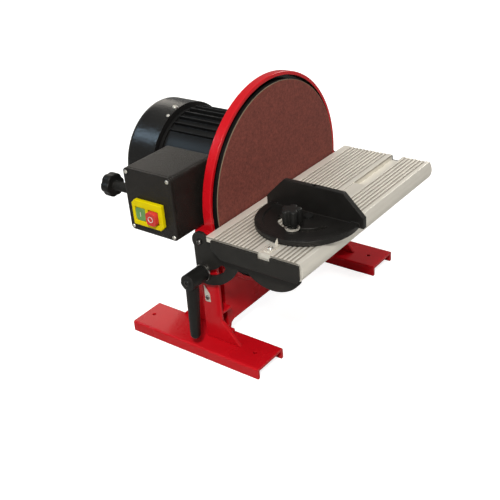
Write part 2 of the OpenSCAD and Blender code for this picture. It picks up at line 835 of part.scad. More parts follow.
module tie_bolts() color("silver") on_axis() for (a = [tie_angle : 90 : 270 + tie_angle])
    rotate([0, a, 0]) translate([0, 0, tie_circle_r]) {
        rod_y(tie_r, motor_y0 + flange_t, housing_y1 + rear_wall);
        rod_y(tie_head_r, housing_y1 + rear_wall, housing_y1 + rear_wall + tie_head_t);
    }

module motor_bolts() color("silver") on_axis() for (a = [45 : 90 : 315])
    rotate([0, a, 0]) translate([0, 0, flange_bolt_circle_r]) {
        rod_y(motor_bolt_r, back_y0, motor_y0 + flange_t);
        rod_y(motor_bolt_head_r, motor_y0 + flange_t, motor_y0 + flange_t + motor_bolt_head_t);
    }

module bearing(out_r, bore, y0, y1) color("silver") on_axis() difference() {
    rod_y(out_r, y0, y1);
    rod_y(bore + slip, y0 - overrun, y1 + overrun);
}
module front_bearing() bearing(front_bearing_r, shaft_d / 2, front_bearing_y0, front_bearing_y1);
module rear_bearing() bearing(rear_bearing_r, shaft_rear_d / 2, rear_bearing_y0, rear_bearing_y1);

module stator_core() color("gray") on_axis() difference() {
    rod_y(bore_r - slip, core_y0, core_y1);
    rod_y(stator_bore_r, core_y0 - overrun, core_y1 + overrun);
}

// One bundle of end turns on each face of the core
module stator_windings() color("chocolate") for (y = [core_y0 - coil_l, core_y1])
    turned() round_2d([stator_bore_r + coil_wall, y], [bore_r - coil_wall - slip, y + coil_l], coil_wall);

module fan_cowl() color("dimgray") difference() {
    turned() difference() {
        cowl_outline(cowl_r, cowl_y0, cowl_y1, cowl_round);
        cowl_outline(cowl_r - cowl_wall, cowl_y0 - overrun, cowl_y1 - cowl_wall, cowl_round - cowl_wall);
    }
    on_axis() for (i = [0 : grille_slots - 1]) rotate([0, i * 360 / grille_slots, 0])
        block([-grille_slot_w / 2, cowl_y1 - cowl_wall - overrun, grille_in_r],
              [grille_slot_w / 2, cowl_y1 + overrun, grille_out_r]);
    on_axis() for (a = cowl_screw_angles) rotate([0, a, 0])
        translate([0, cowl_y0 + cowl_seat_wall, bore_r])
            cylinder(r = cowl_screw_r + slip, h = cowl_r - bore_r + overrun);
    on_axis() rotate([0, small_screw_angle, 0])
        translate([0, cowl_y0 + cowl_seat_wall * small_screw_share, bore_r])
            cylinder(r = cowl_screw_r * small_screw_share + slip, h = cowl_r - bore_r + overrun);
}
// Half section of the cowl, round at its rear corner
module cowl_outline(r, y0, y1, corner) {
    plate_2d([0, y0], [r, y1 - corner]);
    plate_2d([0, y0], [r - corner, y1]);
    translate([r - corner, y1 - corner]) circle(r = corner);
}

module cowl_screws() color("silver") on_axis() {
    for (a = cowl_screw_angles) rotate([0, a, 0]) translate([0, cowl_y0 + cowl_seat_wall, 0])
        cowl_screw(cowl_screw_head_r, cowl_screw_head_t, cowl_screw_r);
    rotate([0, small_screw_angle, 0]) translate([0, cowl_y0 + cowl_seat_wall * small_screw_share, 0])
        cowl_screw(cowl_screw_head_r * small_screw_share, cowl_screw_head_t * small_screw_share,
                   cowl_screw_r * small_screw_share);
}
module cowl_screw(head_r, head_t, shank_r) {
    rod_z(head_r, cowl_r, cowl_r + head_t);
    rod_z(shank_r, cowl_seat_r - cowl_seat_wall, cowl_r);
}

// The places of the screws that hold the switch box to the motor's saddle
module box_screw_places() {
    for (y = [saddle_y0 + box_screw_inset, saddle_y1 - box_screw_inset],
         z = [saddle_z0 + box_screw_inset / 2, saddle_z1 - box_screw_inset / 2])
        translate([0, y, z]) children();
}
module cover_screw_places() {
    for (y = [box_y0 + cover_screw_inset, box_y1 - cover_screw_inset],
         z = [box_z + cover_screw_inset, box_z1 - cover_screw_inset])
        translate([0, y, z]) children();
}

module switch_box() color([0.16, 0.15, 0.14]) difference() {
    union() {
        difference() {
            slab_x(-box_out_x, -box_x) round_2d([box_y0, box_z], [box_y1, box_z1], box_corner);
            block([-box_out_x - overrun, box_y0 + box_wall, box_z + box_wall],
                  [-box_x - box_wall, box_y1 - box_wall, box_z1 - box_wall]);
        }
        cover_screw_places() rod_x(cover_post_r, -box_out_x, -box_out_x + cover_post_l);
    }
    cover_screw_places()
        rod_x(cover_screw_r + slip, -box_out_x - overrun, -box_out_x + cover_post_l - overrun);
    box_screw_places() rod_x(box_screw_r + slip, -box_x - box_wall - overrun, -box_x + overrun);
    translate([-gland_x, 0, gland_z])
        rod_y(gland_hole_r + slip, box_y1 - box_wall - overrun, box_y1 + overrun);
}

module box_screws() color("silver") box_screw_places() {
    rod_x(box_screw_head_r, -box_x - box_wall - box_screw_head_t, -box_x - box_wall);
    rod_x(box_screw_r, -box_x - box_wall, -box_x + box_screw_l - overrun);
}

// Oil-filled can clipped to the inner wall of the box
module run_capacitor() color("whitesmoke")
    translate([-box_x - box_wall - capacitor_r, 0, (saddle_z0 + saddle_z1) / 2])
        rod_y(capacitor_r, (box_y0 + box_y1 - capacitor_l) / 2, (box_y0 + box_y1 + capacitor_l) / 2);

module switch_cover() color([0.14, 0.13, 0.12]) difference() {
    slab_x(-cover_out_x, -box_out_x) round_2d([box_y0, box_z], [box_y1, box_z1], box_corner);
    block([-cover_out_x - overrun, bezel_y - switch_w / 2 - seam, bezel_z - switch_h / 2 - seam],
          [-box_out_x + overrun, bezel_y + switch_w / 2 + seam, bezel_z + switch_h / 2 + seam]);
    cover_screw_places() rod_x(cover_screw_r + slip, -cover_out_x - overrun, -box_out_x + overrun);
}

module cover_screws() color("silver") cover_screw_places() {
    rod_x(cover_screw_head_r, -cover_out_x - cover_screw_head_t, -cover_out_x);
    rod_x(cover_screw_r, -cover_out_x, -box_out_x + cover_post_l - 2 * overrun);
}

// No-volt release switch with a pocket for each button
module switch_body() color([0.1, 0.1, 0.1]) difference() {
    block([-cover_out_x, bezel_y - switch_w / 2, bezel_z - switch_h / 2],
          [-cover_out_x + switch_depth, bezel_y + switch_w / 2, bezel_z + switch_h / 2]);
    for (y = [start_y, stop_y])
        block([-cover_out_x - overrun, y - button_w / 2 - seam, button_z - button_h / 2 - seam],
              [-cover_out_x + pocket_depth, y + button_w / 2 + seam, button_z + button_h / 2 + seam]);
}

module switch_bezel() color("gold") difference() {
    slab_x(-bezel_out_x, -cover_out_x) polygon([
        [bezel_y - bezel_w / 2, bezel_z - bezel_h / 2 + bezel_cut],
        [bezel_y - bezel_w / 2 + bezel_cut, bezel_z - bezel_h / 2],
        [bezel_y + bezel_w / 2, bezel_z - bezel_h / 2],
        [bezel_y + bezel_w / 2, bezel_z + bezel_h / 2 - bezel_cut],
        [bezel_y + bezel_w / 2 - bezel_cut, bezel_z + bezel_h / 2],
        [bezel_y - bezel_w / 2, bezel_z + bezel_h / 2]]);
    for (y = [start_y, stop_y])
        block([-bezel_out_x - overrun, y - button_w / 2 - seam, button_z - button_h / 2 - seam],
              [-cover_out_x + overrun, y + button_w / 2 + seam, button_z + button_h / 2 + seam]);
}

module button(y, proud) {
    block([-bezel_out_x - proud, y - button_w / 2, button_z - button_h / 2],
          [-cover_out_x + button_root, y + button_w / 2, button_z + button_h / 2]);
}
module start_button() color("mediumseagreen") button(start_y, -seam);
module stop_button() color("crimson") button(stop_y, stop_proud);

// Empty gland for the supply lead, on the rear wall of the box
module cable_gland() color([0.12, 0.12, 0.12]) translate([-gland_x, 0, gland_z]) difference() {
    union() {
        rod_y(gland_r, box_y1, box_y1 + gland_nut_t);
        translate([0, box_y1 + gland_nut_t, 0]) rotate([-90, 0, 0])
            cylinder(r1 = gland_r, r2 = gland_hole_r, h = gland_l - gland_nut_t);
        rod_y(gland_hole_r, box_y1 - box_wall, box_y1);
        rod_y(gland_r, box_y1 - box_wall - gland_nut_t, box_y1 - box_wall);
    }
    rod_y(gland_cord_r, box_y1 - box_wall - gland_nut_t - overrun, box_y1 + gland_l + overrun);
}

module motor_shaft() color("silver") turned() polygon([
    [0, shaft_y0], [shaft_d / 2, shaft_y0], [shaft_d / 2, front_bearing_y1],
    [shaft_shoulder_d / 2, front_bearing_y1], [shaft_shoulder_d / 2, core_y0],
    [shaft_core_d / 2, core_y0], [shaft_core_d / 2, core_y1], [shaft_shoulder_d / 2, core_y1],
    [shaft_shoulder_d / 2, rear_bearing_y0], [shaft_rear_d / 2, rear_bearing_y0],
    [shaft_rear_d / 2, rear_bearing_y1], [shaft_fan_d / 2, rear_bearing_y1],
    [shaft_fan_d / 2, fan_y1 + overrun],
    [0, fan_y1 + overrun]]);

module rotor_core() color("gray") on_axis() difference() {
    rod_y(rotor_r, core_y0, core_y1);
    rod_y(shaft_core_d / 2 + slip, core_y0 - overrun, core_y1 + overrun);
}

module cooling_fan() color([0.2, 0.2, 0.2]) on_axis() difference() {
    union() {
        rod_y(fan_hub_r, fan_y0, fan_y1);
        rod_y(fan_plate_r, fan_y0, fan_y0 + fan_plate_t);
        for (i = [0 : fan_blades - 1]) rotate([0, i * 360 / fan_blades, 0])
            block([-fan_blade_t / 2, fan_y0, fan_hub_r - overrun], [fan_blade_t / 2, fan_y1, fan_r]);
    }
    rod_y(shaft_fan_d / 2 + slip, fan_y0 - overrun, fan_y1 + overrun);
}

module disc_plate() color("silver") on_axis() difference() {
    union() {
        rod_y(disc_r, face_y + abrasive_t, disc_y1);
        rod_y(hub_d / 2, face_y + abrasive_t, disc_y1 + hub_l);
    }
    rod_y(shaft_d / 2 + slip, shaft_y0 - slip, disc_y1 + hub_l + overrun);
    set_screw_places() cylinder(r = set_screw_r + slip, h = hub_d);
}

// Two grub screws at a right angle clamp the hub to the shaft
module set_screw_places() {
    for (a = [0, 90]) rotate([0, a, 0]) translate([0, disc_y1 + hub_l * set_screw_share, 0]) children();
}
module disc_set_screws() color("dimgray") on_axis() set_screw_places()
    rod_z(set_screw_r, shaft_d / 2 + slip, hub_d / 2 - overrun);

module abrasive_disc() color("sienna") on_axis() rod_y(disc_r, face_y, face_y + abrasive_t);

module table_outline() {
    difference() {
        union() {
            plate_2d([table_y0 + nose_in, table_z0], [table_y1, table_z]);
            plate_2d([channel_y0, channel_z], [channel_y1, table_z]);
            difference() {
                intersection() {
                    translate([nose_y, table_z - nose_h / 2]) circle(r = nose_r);
                    plate_2d([nose_y - nose_r, nose_z0], [table_y0 + nose_in, table_z]);
                }
                plate_2d([table_y0 + nose_in / 2, nose_z0 - overrun],
                         [table_y0 + nose_in + overrun, table_z0]);
            }
        }
        plate_2d([slot_y - slot_w / 2, table_z - slot_depth], [slot_y + slot_w / 2, table_z + overrun]);
        for (i = [0 : rear_grooves - 1]) groove_2d(table_y1 - rear_land - i * groove_pitch);
        for (i = [0 : front_grooves - 1]) groove_2d(slot_y - slot_w / 2 - front_land - i * groove_pitch);
    }
}
module groove_2d(y) {
    plate_2d([y - groove_w / 2, table_z - groove_depth], [y + groove_w / 2, table_z + overrun]);
}

module table() color("lightgray") difference() {
    slab_x(-table_x, table_x) table_outline();
    both_sides() table_screw_places()
        rod_z(table_screw_r + slip, table_z0 - overrun, table_z0 + table_screw_bite);
}

module table_screw_places() {
    for (share = table_screw_shares)
        translate([-(table_x - table_screw_inset), rail_toe_y + (bracket_front_y - rail_toe_y) * share, 0])
            children();
}
module table_screws() color("silver") both_sides() table_screw_places() {
    rod_z(table_screw_head_r, rail_z + table_screw_sink - table_screw_head_t, rail_z + table_screw_sink);
    rod_z(table_screw_r, rail_z + table_screw_sink, table_z0 + table_screw_bite - overrun);
}

// Plate of a bracket: pivot ear, slotted lobe, strip under the table and, on the left, a half-moon
module bracket_outline(with_moon) {
    translate([pivot_y, pivot_z]) circle(r = ear_r);
    intersection() {
        translate([pivot_y, pivot_z]) circle(r = lobe_r);
        plate_2d([pivot_y - lobe_r - overrun, stud_z - lobe_r], [pivot_y + ear_back, pivot_z]);
    }
    plate_2d([moon_y, strip_z], [pivot_y, table_z0]);
    plate_2d([bracket_front_y, rail_z], [pivot_y, table_z0]);
    if (with_moon) intersection() {
        translate([moon_y, table_z - groove_pitch]) circle(r = moon_r);
        plate_2d([bracket_front_y, stud_z - lobe_r], [pivot_y, table_z0]);
    }
}
module bracket(with_moon) color([0.15, 0.15, 0.15]) difference() {
    union() {
        slab_x(-bracket_out_x, -bracket_in_x) bracket_outline(with_moon);
        slab_x(-rail_out_x, -rail_in_x)
            polygon([[rail_rear_y, table_z0], [rail_rear_y, rail_rear_z], [rail_toe_y, rail_z],
                     [bracket_front_y, rail_z], [bracket_front_y, table_z0]]);
        slab_x(-lip_out_x, -lip_in_x)
            polygon([[rail_rear_y, lip_top_z], [rail_rear_y, rail_rear_z], [rail_toe_y, rail_z],
                     [table_y0 + lip_corner, rail_z], [table_y0, rail_z + lip_corner],
                     [table_y0, lip_top_z]]);
    }
    block([-lip_in_x, channel_y0 - bar_slip, channel_z - bar_slip],
          [-rail_in_x + overrun, channel_y1 + bar_slip, table_z]);
    block([-rail_out_x - overrun, slot_y - slot_w / 2 - lip_notch_slip,
           table_z - slot_depth - lip_notch_slip],
          [-lip_in_x + overrun, slot_y + slot_w / 2 + lip_notch_slip, table_z]);
    translate([0, pivot_y, pivot_z]) {
        rod_x(stud_r + slip, -bracket_out_x - overrun, -bracket_in_x + overrun);
        slab_x(-bracket_out_x - overrun, -bracket_in_x + overrun)
            arc_2d(arc_r, arc_slot_r, -90 - tilt_max - arc_over, -90 + arc_over);
    }
    table_screw_places() {
        rod_z(table_screw_r + slip, rail_z - overrun, table_z0 + overrun);
        rod_z(table_screw_head_r + slip, rail_z - overrun, rail_z + table_screw_sink);
    }
}
module left_bracket() bracket(true);
module right_bracket() mirror([1, 0, 0]) bracket(false);

module pivot_screws() color("silver") both_sides() translate([0, pivot_y, pivot_z]) {
    rod_x(pivot_head_r, -bracket_out_x - stack_gap - pivot_head_t, -bracket_out_x - stack_gap);
    rod_x(stud_r, -bracket_out_x - stack_gap, -leg_in_x);
}

module clamp_studs() color("silver") both_sides() translate([0, pivot_y, stud_z]) {
    rod_x(stud_r, -lever_x1 + lever_wall + seam, -leg_in_x);
    translate([-leg_in_x, 0, 0]) rotate([0, 90, 0]) cylinder(r = nut_r, h = nut_t, $fn = 6);
}

module clamp_washers() color("silver") both_sides() translate([0, pivot_y, stud_z]) difference() {
    rod_x(washer_r, -washer_x0 - washer_t, -washer_x0);
    rod_x(stud_r + slip, -washer_x0 - washer_t - overrun, -washer_x0 + overrun);
}

module left_clamp_lever() color([0.13, 0.13, 0.13])
translate([0, pivot_y, stud_z]) rotate([lever_lean, 0, 0]) difference() {
    union() {
        rod_x(lever_hub_r, -lever_x1, -lever_x0);
        translate([-lever_x1 + lever_root_r + seam, 0, -lever_l]) {
            cylinder(r1 = lever_tip_r, r2 = lever_root_r, h = lever_l);
            sphere(r = lever_tip_r);
        }
    }
    rod_x(stud_r + slip, -lever_x1 + lever_wall, -lever_x0 + overrun);
    rod_x(lever_screw_shank_r + slip, -lever_x1 - overrun, -lever_x1 + lever_wall);
    block([-lever_x1 - overrun, -lever_tip_r, -lever_l - lever_tip_r - overrun],
          [-lever_x0, lever_tip_r, -lever_l - lever_tip_r + lever_tip_flat]);
}
module right_clamp_lever() mirror([1, 0, 0]) left_clamp_lever();

module left_lever_screw() color("silver") translate([0, pivot_y, stud_z]) {
    rod_x(lever_screw_r, -lever_x1 - lever_screw_t, -lever_x1);
    rod_x(lever_screw_shank_r, -lever_x1, -lever_x1 + lever_wall);
}
module right_lever_screw() mirror([1, 0, 0]) left_lever_screw();

module tilt_pointer() color("silver") difference() {
    slab_x(-leg_x - pointer_t, -leg_x)
        polygon([[pointer_y - pointer_w / 2, pointer_z0], [pointer_y + pointer_w / 2, pointer_z0],
                 [pointer_y + pointer_w / 2, pointer_z1], [pointer_tip_y, pointer_tip_z],
                 [pointer_y - pointer_w / 2, pointer_z1]]);
    translate([0, pointer_y, pointer_screw_z])
        rod_x(pointer_screw_r + slip, -leg_x - pointer_t - overrun, -leg_x + overrun);
}
module tilt_pointer_screw() color("silver") translate([0, pointer_y, pointer_screw_z]) {
    rod_x(pointer_screw_head_r, -leg_x - pointer_t - pointer_screw_head_t, -leg_x - pointer_t);
    rod_x(pointer_screw_r, -leg_x - pointer_t, -leg_in_x);
}

module mitre_bar() color("silver") difference() {
    block([bar_x0, bar_y0, bar_z0], [bar_x0 + bar_l, bar_y1, bar_z1]);
    for (x = [-swivel_x, mitre_stud_x])
        translate([x, slot_y, 0]) rod_z(mitre_stud_r + slip, bar_z0 + overrun, bar_z1 + overrun);
    translate([mitre_pointer_screw_x, slot_y, 0])
        rod_z(mitre_pointer_screw_r + slip, bar_z0 + overrun, bar_z1 + overrun);
}

module mitre_stud() color("silver") translate([mitre_stud_x, slot_y, 0])
    rod_z(mitre_stud_r, bar_z0 + overrun, mitre_stud_z1);

module mitre_washer() color("silver") translate([mitre_stud_x, slot_y, 0]) difference() {
    rod_z(mitre_washer_r, mitre_washer_z, mitre_washer_z + mitre_washer_t);
    rod_z(mitre_stud_r + slip, mitre_washer_z - overrun, mitre_washer_z + mitre_washer_t + overrun);
}

// Bent tongue on the bar, its point turned up beside the protractor's rim
module mitre_pointer() color("silver") difference() {
    union() {
        block([mitre_pointer_x0, slot_y - mitre_pointer_w / 2, bar_z1],
              [mitre_pointer_x1, slot_y + mitre_pointer_w / 2, bar_z1 + mitre_pointer_t]);
        slab_x(mitre_pointer_x1 - mitre_pointer_t, mitre_pointer_x1)
            polygon([[slot_y - mitre_blade_w / 2, bar_z1], [slot_y + mitre_blade_w / 2, bar_z1],
                     [slot_y - mitre_blade_w * mitre_blade_point_share, bar_z1 + mitre_pointer_rise]]);
    }
    translate([mitre_pointer_screw_x, slot_y, 0])
        rod_z(mitre_pointer_screw_r + slip, bar_z1 - overrun, bar_z1 + mitre_pointer_t + overrun);
}
module mitre_pointer_screw() color("silver") translate([mitre_pointer_screw_x, slot_y, 0]) {
    rod_z(mitre_pointer_head_r, bar_z1 + mitre_pointer_t, bar_z1 + mitre_pointer_t + mitre_pointer_head_t);
    rod_z(mitre_pointer_screw_r, bar_z0 + overrun, bar_z1 + mitre_pointer_t);
}

module swivel_screw() color("silver") translate([-swivel_x, slot_y, 0]) {
    rod_z(mitre_stud_r, bar_z0 + overrun, base_z1 - base_recess + seam);
    rod_z(swivel_head_r, base_z1 - base_recess + seam, base_z1 - base_recess + seam + swivel_head_t);
}

// Protractor base and upright fence, cast in one
module mitre_head() color([0.13, 0.13, 0.13]) {
    fence_x0 = -swivel_x + fence_offset + swivel_head_r;
    fence_x1 = fence_x0 + fence_t;
    difference() {
        union() {
            slab_z(base_z0, base_z1) intersection() {
                translate([-swivel_x - base_offset, slot_y]) circle(r = base_r);
                plate_2d([-swivel_x - base_offset - base_r, slot_y - base_r], [fence_x1, slot_y + base_r]);
            }
            slab_x(fence_x0, fence_x1) polygon([
                [slot_y - fence_l / 2, base_z0], [slot_y - fence_l / 2, base_z0 + fence_h * fence_end_share],
                [slot_y - fence_top_l / 2, fence_z1], [slot_y + fence_top_l / 2, fence_z1],
                [slot_y + fence_l / 2, base_z0 + fence_h * fence_end_share],
                [slot_y + fence_l / 2, base_z0]]);
        }
        slab_z(base_z1 - base_recess, base_z1 + overrun) intersection() {
            translate([-swivel_x - base_offset, slot_y]) circle(r = base_r - base_rim);
            plate_2d([-swivel_x - base_offset - base_r, slot_y - base_r], [fence_x0, slot_y + base_r]);
        }
        translate([-swivel_x, slot_y, 0]) {
            rod_z(mitre_stud_r + slip, base_z0 - overrun, base_z1 + overrun);
            slab_z(base_z0 - overrun, base_z1 + overrun)
                arc_2d(swivel_slot_r, mitre_stud_r + seam, 180 - swivel_max - mitre_slot_over,
                       180 + swivel_max + mitre_slot_over);
        }
        translate([(fence_x0 + fence_x1) / 2, slot_y, 0])
            rod_z(fence_hole_r, fence_z1 - fence_hole_depth, fence_z1 + overrun);
    }
}

module mitre_knob() color([0.1, 0.1, 0.1]) translate([mitre_stud_x, slot_y, 0]) difference() {
    union() {
        rod_z(mitre_neck_r, mitre_knob_z0, mitre_knob_z0 + mitre_neck_h);
        slab_z(mitre_knob_z0 + mitre_neck_h, mitre_knob_z1)
            rotate(mitre_lobe_turn) lobed_2d(mitre_knob_r, mitre_lobes, mitre_lobe_share);
    }
    rod_z(mitre_stud_r + slip, mitre_knob_z0 - overrun, mitre_stud_z1 + seam);
}

module brake_rod() color("silver") translate([-brake_x, 0, brake_z]) {
    rod_y(brake_rod_r, pad_y1, brake_knob_y1 - brake_knob_t / 2);
    rod_y(collar_r, collar_y0, collar_y0 + collar_t);
}
module brake_pad() color("saddlebrown") translate([-brake_x, 0, brake_z])
    rod_y(pad_r, pad_y1 - pad_t, pad_y1);

module brake_knob() color([0.1, 0.1, 0.1]) translate([-brake_x, 0, brake_z]) difference() {
    union() {
        rod_y(brake_neck_r, brake_knob_y1 - brake_knob_t - brake_neck_l, brake_knob_y1 - brake_knob_t);
        slab_y(brake_knob_y1 - brake_knob_t, brake_knob_y1)
            lobed_2d(brake_knob_r, brake_lobes, brake_lobe_share);
    }
    rod_y(brake_rod_r + slip, brake_knob_y1 - brake_knob_t - brake_neck_l - overrun,
          brake_knob_y1 - brake_knob_t / 2 + slip);
}

// Return spring, one tube wound about the rod; its rings follow the helix
function spring_point(i) = let (a = 360 * i / spring_rings)
    [spring_r * cos(a), spring_wire_r + spring_pitch * i / spring_rings, spring_r * sin(a)];
function spring_ring(i) = let (a = 360 * i / spring_rings, c = spring_point(i))
    [for (k = [0 : spring_sides - 1]) let (b = 360 * k / spring_sides, w = spring_wire_r * cos(b))
        c + [w * cos(a), spring_wire_r * sin(b), w * sin(a)]];
module brake_spring() color("silver") translate([-brake_x, spring_y0, brake_z]) {
    points = [for (i = [0 : spring_steps]) each spring_ring(i)];
    last = spring_steps * spring_sides;
    walls = [for (i = [0 : spring_steps - 1], k = [0 : spring_sides - 1])
        let (a = i * spring_sides + k, b = i * spring_sides + (k + 1) % spring_sides)
        each [[a, a + spring_sides, b], [b, a + spring_sides, b + spring_sides]]];
    caps = [for (k = [1 : spring_sides - 2]) each [[0, k, k + 1], [last, last + k + 1, last + k]]];
    polyhedron(points = points, faces = concat(walls, caps));
}

main_frame();
left_foot();
right_foot();
foot_bolts();
motor_front_shield();
motor_housing();
motor_rear_shield();
tie_bolts();
motor_bolts();
front_bearing();
rear_bearing();
stator_core();
stator_windings();
fan_cowl();
cowl_screws();
switch_box();
box_screws();
run_capacitor();
switch_cover();
cover_screws();
switch_body();
switch_bezel();
cable_gland();
pivot_screws();
clamp_studs();
clamp_washers();
tilt_pointer();
tilt_pointer_screw();
brake_spring();
motor_shaft();
rotor_core();
cooling_fan();
disc_plate();
disc_set_screws();
abrasive_disc();
table();
left_bracket();
right_bracket();
table_screws();
left_clamp_lever();
left_lever_screw();
right_clamp_lever();
right_lever_screw();
mitre_bar();
mitre_stud();
mitre_washer();
mitre_pointer();
mitre_pointer_screw();
swivel_screw();
mitre_head();
mitre_knob();
start_button();
stop_button();
brake_rod();
brake_pad();
brake_knob();
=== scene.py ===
"""Benchtop disc sander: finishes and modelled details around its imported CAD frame."""
import math

import bmesh
import bpy
import numpy as np
from mathutils import Matrix, Vector
from mathutils.bvhtree import BVHTree
from mathutils.kdtree import KDTree


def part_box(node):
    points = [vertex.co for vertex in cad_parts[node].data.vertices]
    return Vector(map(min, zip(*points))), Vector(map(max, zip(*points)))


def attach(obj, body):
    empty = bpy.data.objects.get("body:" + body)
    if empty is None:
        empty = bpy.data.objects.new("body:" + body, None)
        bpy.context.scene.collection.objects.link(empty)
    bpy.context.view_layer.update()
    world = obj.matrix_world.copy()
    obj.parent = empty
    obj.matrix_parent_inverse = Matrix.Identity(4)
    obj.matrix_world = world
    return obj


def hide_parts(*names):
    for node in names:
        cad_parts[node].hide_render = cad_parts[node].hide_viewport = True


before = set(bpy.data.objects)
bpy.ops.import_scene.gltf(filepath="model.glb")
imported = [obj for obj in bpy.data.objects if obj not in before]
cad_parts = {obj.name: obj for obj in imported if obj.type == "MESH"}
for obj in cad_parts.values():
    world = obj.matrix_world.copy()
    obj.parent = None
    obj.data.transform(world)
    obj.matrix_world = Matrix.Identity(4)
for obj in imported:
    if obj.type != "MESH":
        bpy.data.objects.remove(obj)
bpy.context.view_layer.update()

# Bench top, lights and camera: a wide matte white sheet, its glow cut under the feet as painted shade, a
# small key above the camera, softer lights overhead, to both sides and behind, and the camera at the
# picture's own viewpoint.
bench_span = 9.0
bench_mesh = bpy.data.meshes.new("bench_top")
bench_mesh.from_pydata(
    [(-bench_span, -bench_span, 0), (bench_span, -bench_span, 0),
     (bench_span, bench_span, 0), (-bench_span, bench_span, 0)],
    [], [(0, 1, 2, 3)])
bench = bpy.data.objects.new("bench_top", bench_mesh)
bpy.context.collection.objects.link(bench)


def math_node(tree, operation, *given, clamp=False):
    """Result of a math node whose inputs are linked from sockets or set to plain values."""
    node = tree.nodes.new("ShaderNodeMath")
    node.operation = operation
    node.use_clamp = clamp
    for socket, source in zip(node.inputs, given):
        if isinstance(source, bpy.types.NodeSocket):
            tree.links.new(source, socket)
        else:
            socket.default_value = source
    return node.outputs["Value"]


def object_axes(tree):
    """Sockets X, Y and Z of the object coordinates."""
    place = tree.nodes.new("ShaderNodeTexCoord")
    axes = tree.nodes.new("ShaderNodeSeparateXYZ")
    tree.links.new(place.outputs["Object"], axes.inputs["Vector"])
    return axes.outputs


bench_sheet = bpy.data.materials.new("bench_sheet")
bench_sheet.use_nodes = True
sheet_tree = bench_sheet.node_tree
sheet_shader = sheet_tree.nodes["Principled BSDF"]
sheet_shader.inputs["Base Color"].default_value = (0.45, 0.45, 0.445, 1)
sheet_shader.inputs["Roughness"].default_value = 0.8
sheet_shader.inputs["Emission Color"].default_value = (1, 1, 1, 1)
sheet_glow = 0.85
seen_past_end = 0.026
foot_low, foot_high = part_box("right_foot")
foot_middle = (foot_low + foot_high) / 2
foot_half = (foot_high - foot_low) / 2
sheet_axes = object_axes(sheet_tree)
# Painted shade under the feet: the sheet's glow is cut in a box under each foot, short of its open ends.
to_either_side = math_node(sheet_tree, "ABSOLUTE", sheet_axes["X"])
across_foot = math_node(sheet_tree, "COMPARE", to_either_side, foot_middle.x, foot_half.x)
along_foot = math_node(sheet_tree, "COMPARE", sheet_axes["Y"], foot_middle.y, foot_half.y - seen_past_end)
painted_shade_under_foot = math_node(sheet_tree, "MULTIPLY", across_foot, along_foot)
sheet_seen_by = sheet_tree.nodes.new("ShaderNodeLightPath")
seen_glow = math_node(sheet_tree, "MULTIPLY", sheet_seen_by.outputs["Is Camera Ray"], sheet_glow)
sheet_light = math_node(sheet_tree, "SUBTRACT", seen_glow, painted_shade_under_foot, clamp=True)
sheet_tree.links.new(sheet_light, sheet_shader.inputs["Emission Strength"])
bench.data.materials.append(bench_sheet)

room_light = 0.3
room_seen_extra = 0.8
room = bpy.data.worlds.new("room")
room.use_nodes = True
room_backdrop = room.node_tree.nodes["Background"]
room_backdrop.inputs["Color"].default_value = (1.0, 0.98, 0.95, 1)
room_seen_by = room.node_tree.nodes.new("ShaderNodeLightPath")
room_glow = math_node(room.node_tree, "MULTIPLY_ADD", room_seen_by.outputs["Is Camera Ray"],
                      room_seen_extra, room_light)
room.node_tree.links.new(room_glow, room_backdrop.inputs["Strength"])
bpy.context.scene.world = room
bpy.context.scene.view_settings.view_transform = "Standard"

for lamp_name, kind, place, aim_at, spread, power, tint in (
        ("key_front", "AREA", (-1.35, -0.9, 1.75), (0, 0, 0.2), 0.3, 48, (1, 0.97, 0.91)),
        ("fill_high", "SUN", (0.05, 0.2, 1.0), (0, 0, 0), math.radians(40), 0.4, (1, 0.97, 0.91)),
        ("fill_right", "AREA", (2.1, -0.2, 1.4), (0, 0, 0.1), 0.8, 24, (1, 0.97, 0.92)),
        ("panel_left", "AREA", (-2.2, -0.1, 1.0), (0, 0, 0.2), 1.3, 4, (1, 0.97, 0.92)),
        ("window_back", "AREA", (-1.04, 1.67, 1.59), (0, 0.17, 0.29), 0.5, 7, (0.58, 0.8, 1)),
        ("panel_back", "AREA", (1.1, 1.72, 1.0), (0, 0, 0.25), 0.8, 4, (1, 0.94, 0.85))):
    lamp = bpy.data.lights.new(lamp_name, kind)
    lamp.energy = power
    lamp.color = tint
    if kind == "SUN":
        lamp.angle = spread
    else:
        lamp.size = spread
    holder = bpy.data.objects.new(lamp_name, lamp)
    holder.location = place
    holder.rotation_euler = (Vector(aim_at) - Vector(place)).to_track_quat("-Z", "Y").to_euler()
    bpy.context.collection.objects.link(holder)

camera_place = (-0.935832, -0.741887, 0.745748)
camera_yaw = math.radians(50.556)
camera_pitch = math.radians(-28.941)
camera_roll = math.radians(-5.085)
focal_pixels = 822.589
image_pixels = 500
sensor_width = 36.0
ahead = Vector((math.sin(camera_yaw) * math.cos(camera_pitch),
                math.cos(camera_yaw) * math.cos(camera_pitch), math.sin(camera_pitch)))
level_right = Vector((math.cos(camera_yaw), -math.sin(camera_yaw), 0))
level_up = level_right.cross(ahead)
camera_right = math.cos(camera_roll) * level_right + math.sin(camera_roll) * level_up
camera_up = math.cos(camera_roll) * level_up - math.sin(camera_roll) * level_right
lens = bpy.data.cameras.new("camera")
lens.sensor_width = sensor_width
lens.lens = focal_pixels * sensor_width / image_pixels
lens.clip_start = 0.05
lens.clip_end = 50
camera = bpy.data.objects.new("camera", lens)
camera.matrix_world = Matrix((
    (camera_right.x, camera_up.x, -ahead.x, camera_place[0]),
    (camera_right.y, camera_up.y, -ahead.y, camera_place[1]),
    (camera_right.z, camera_up.z, -ahead.z, camera_place[2]),
    (0, 0, 0, 1)))
bpy.context.collection.objects.link(camera)
bpy.context.scene.camera = camera
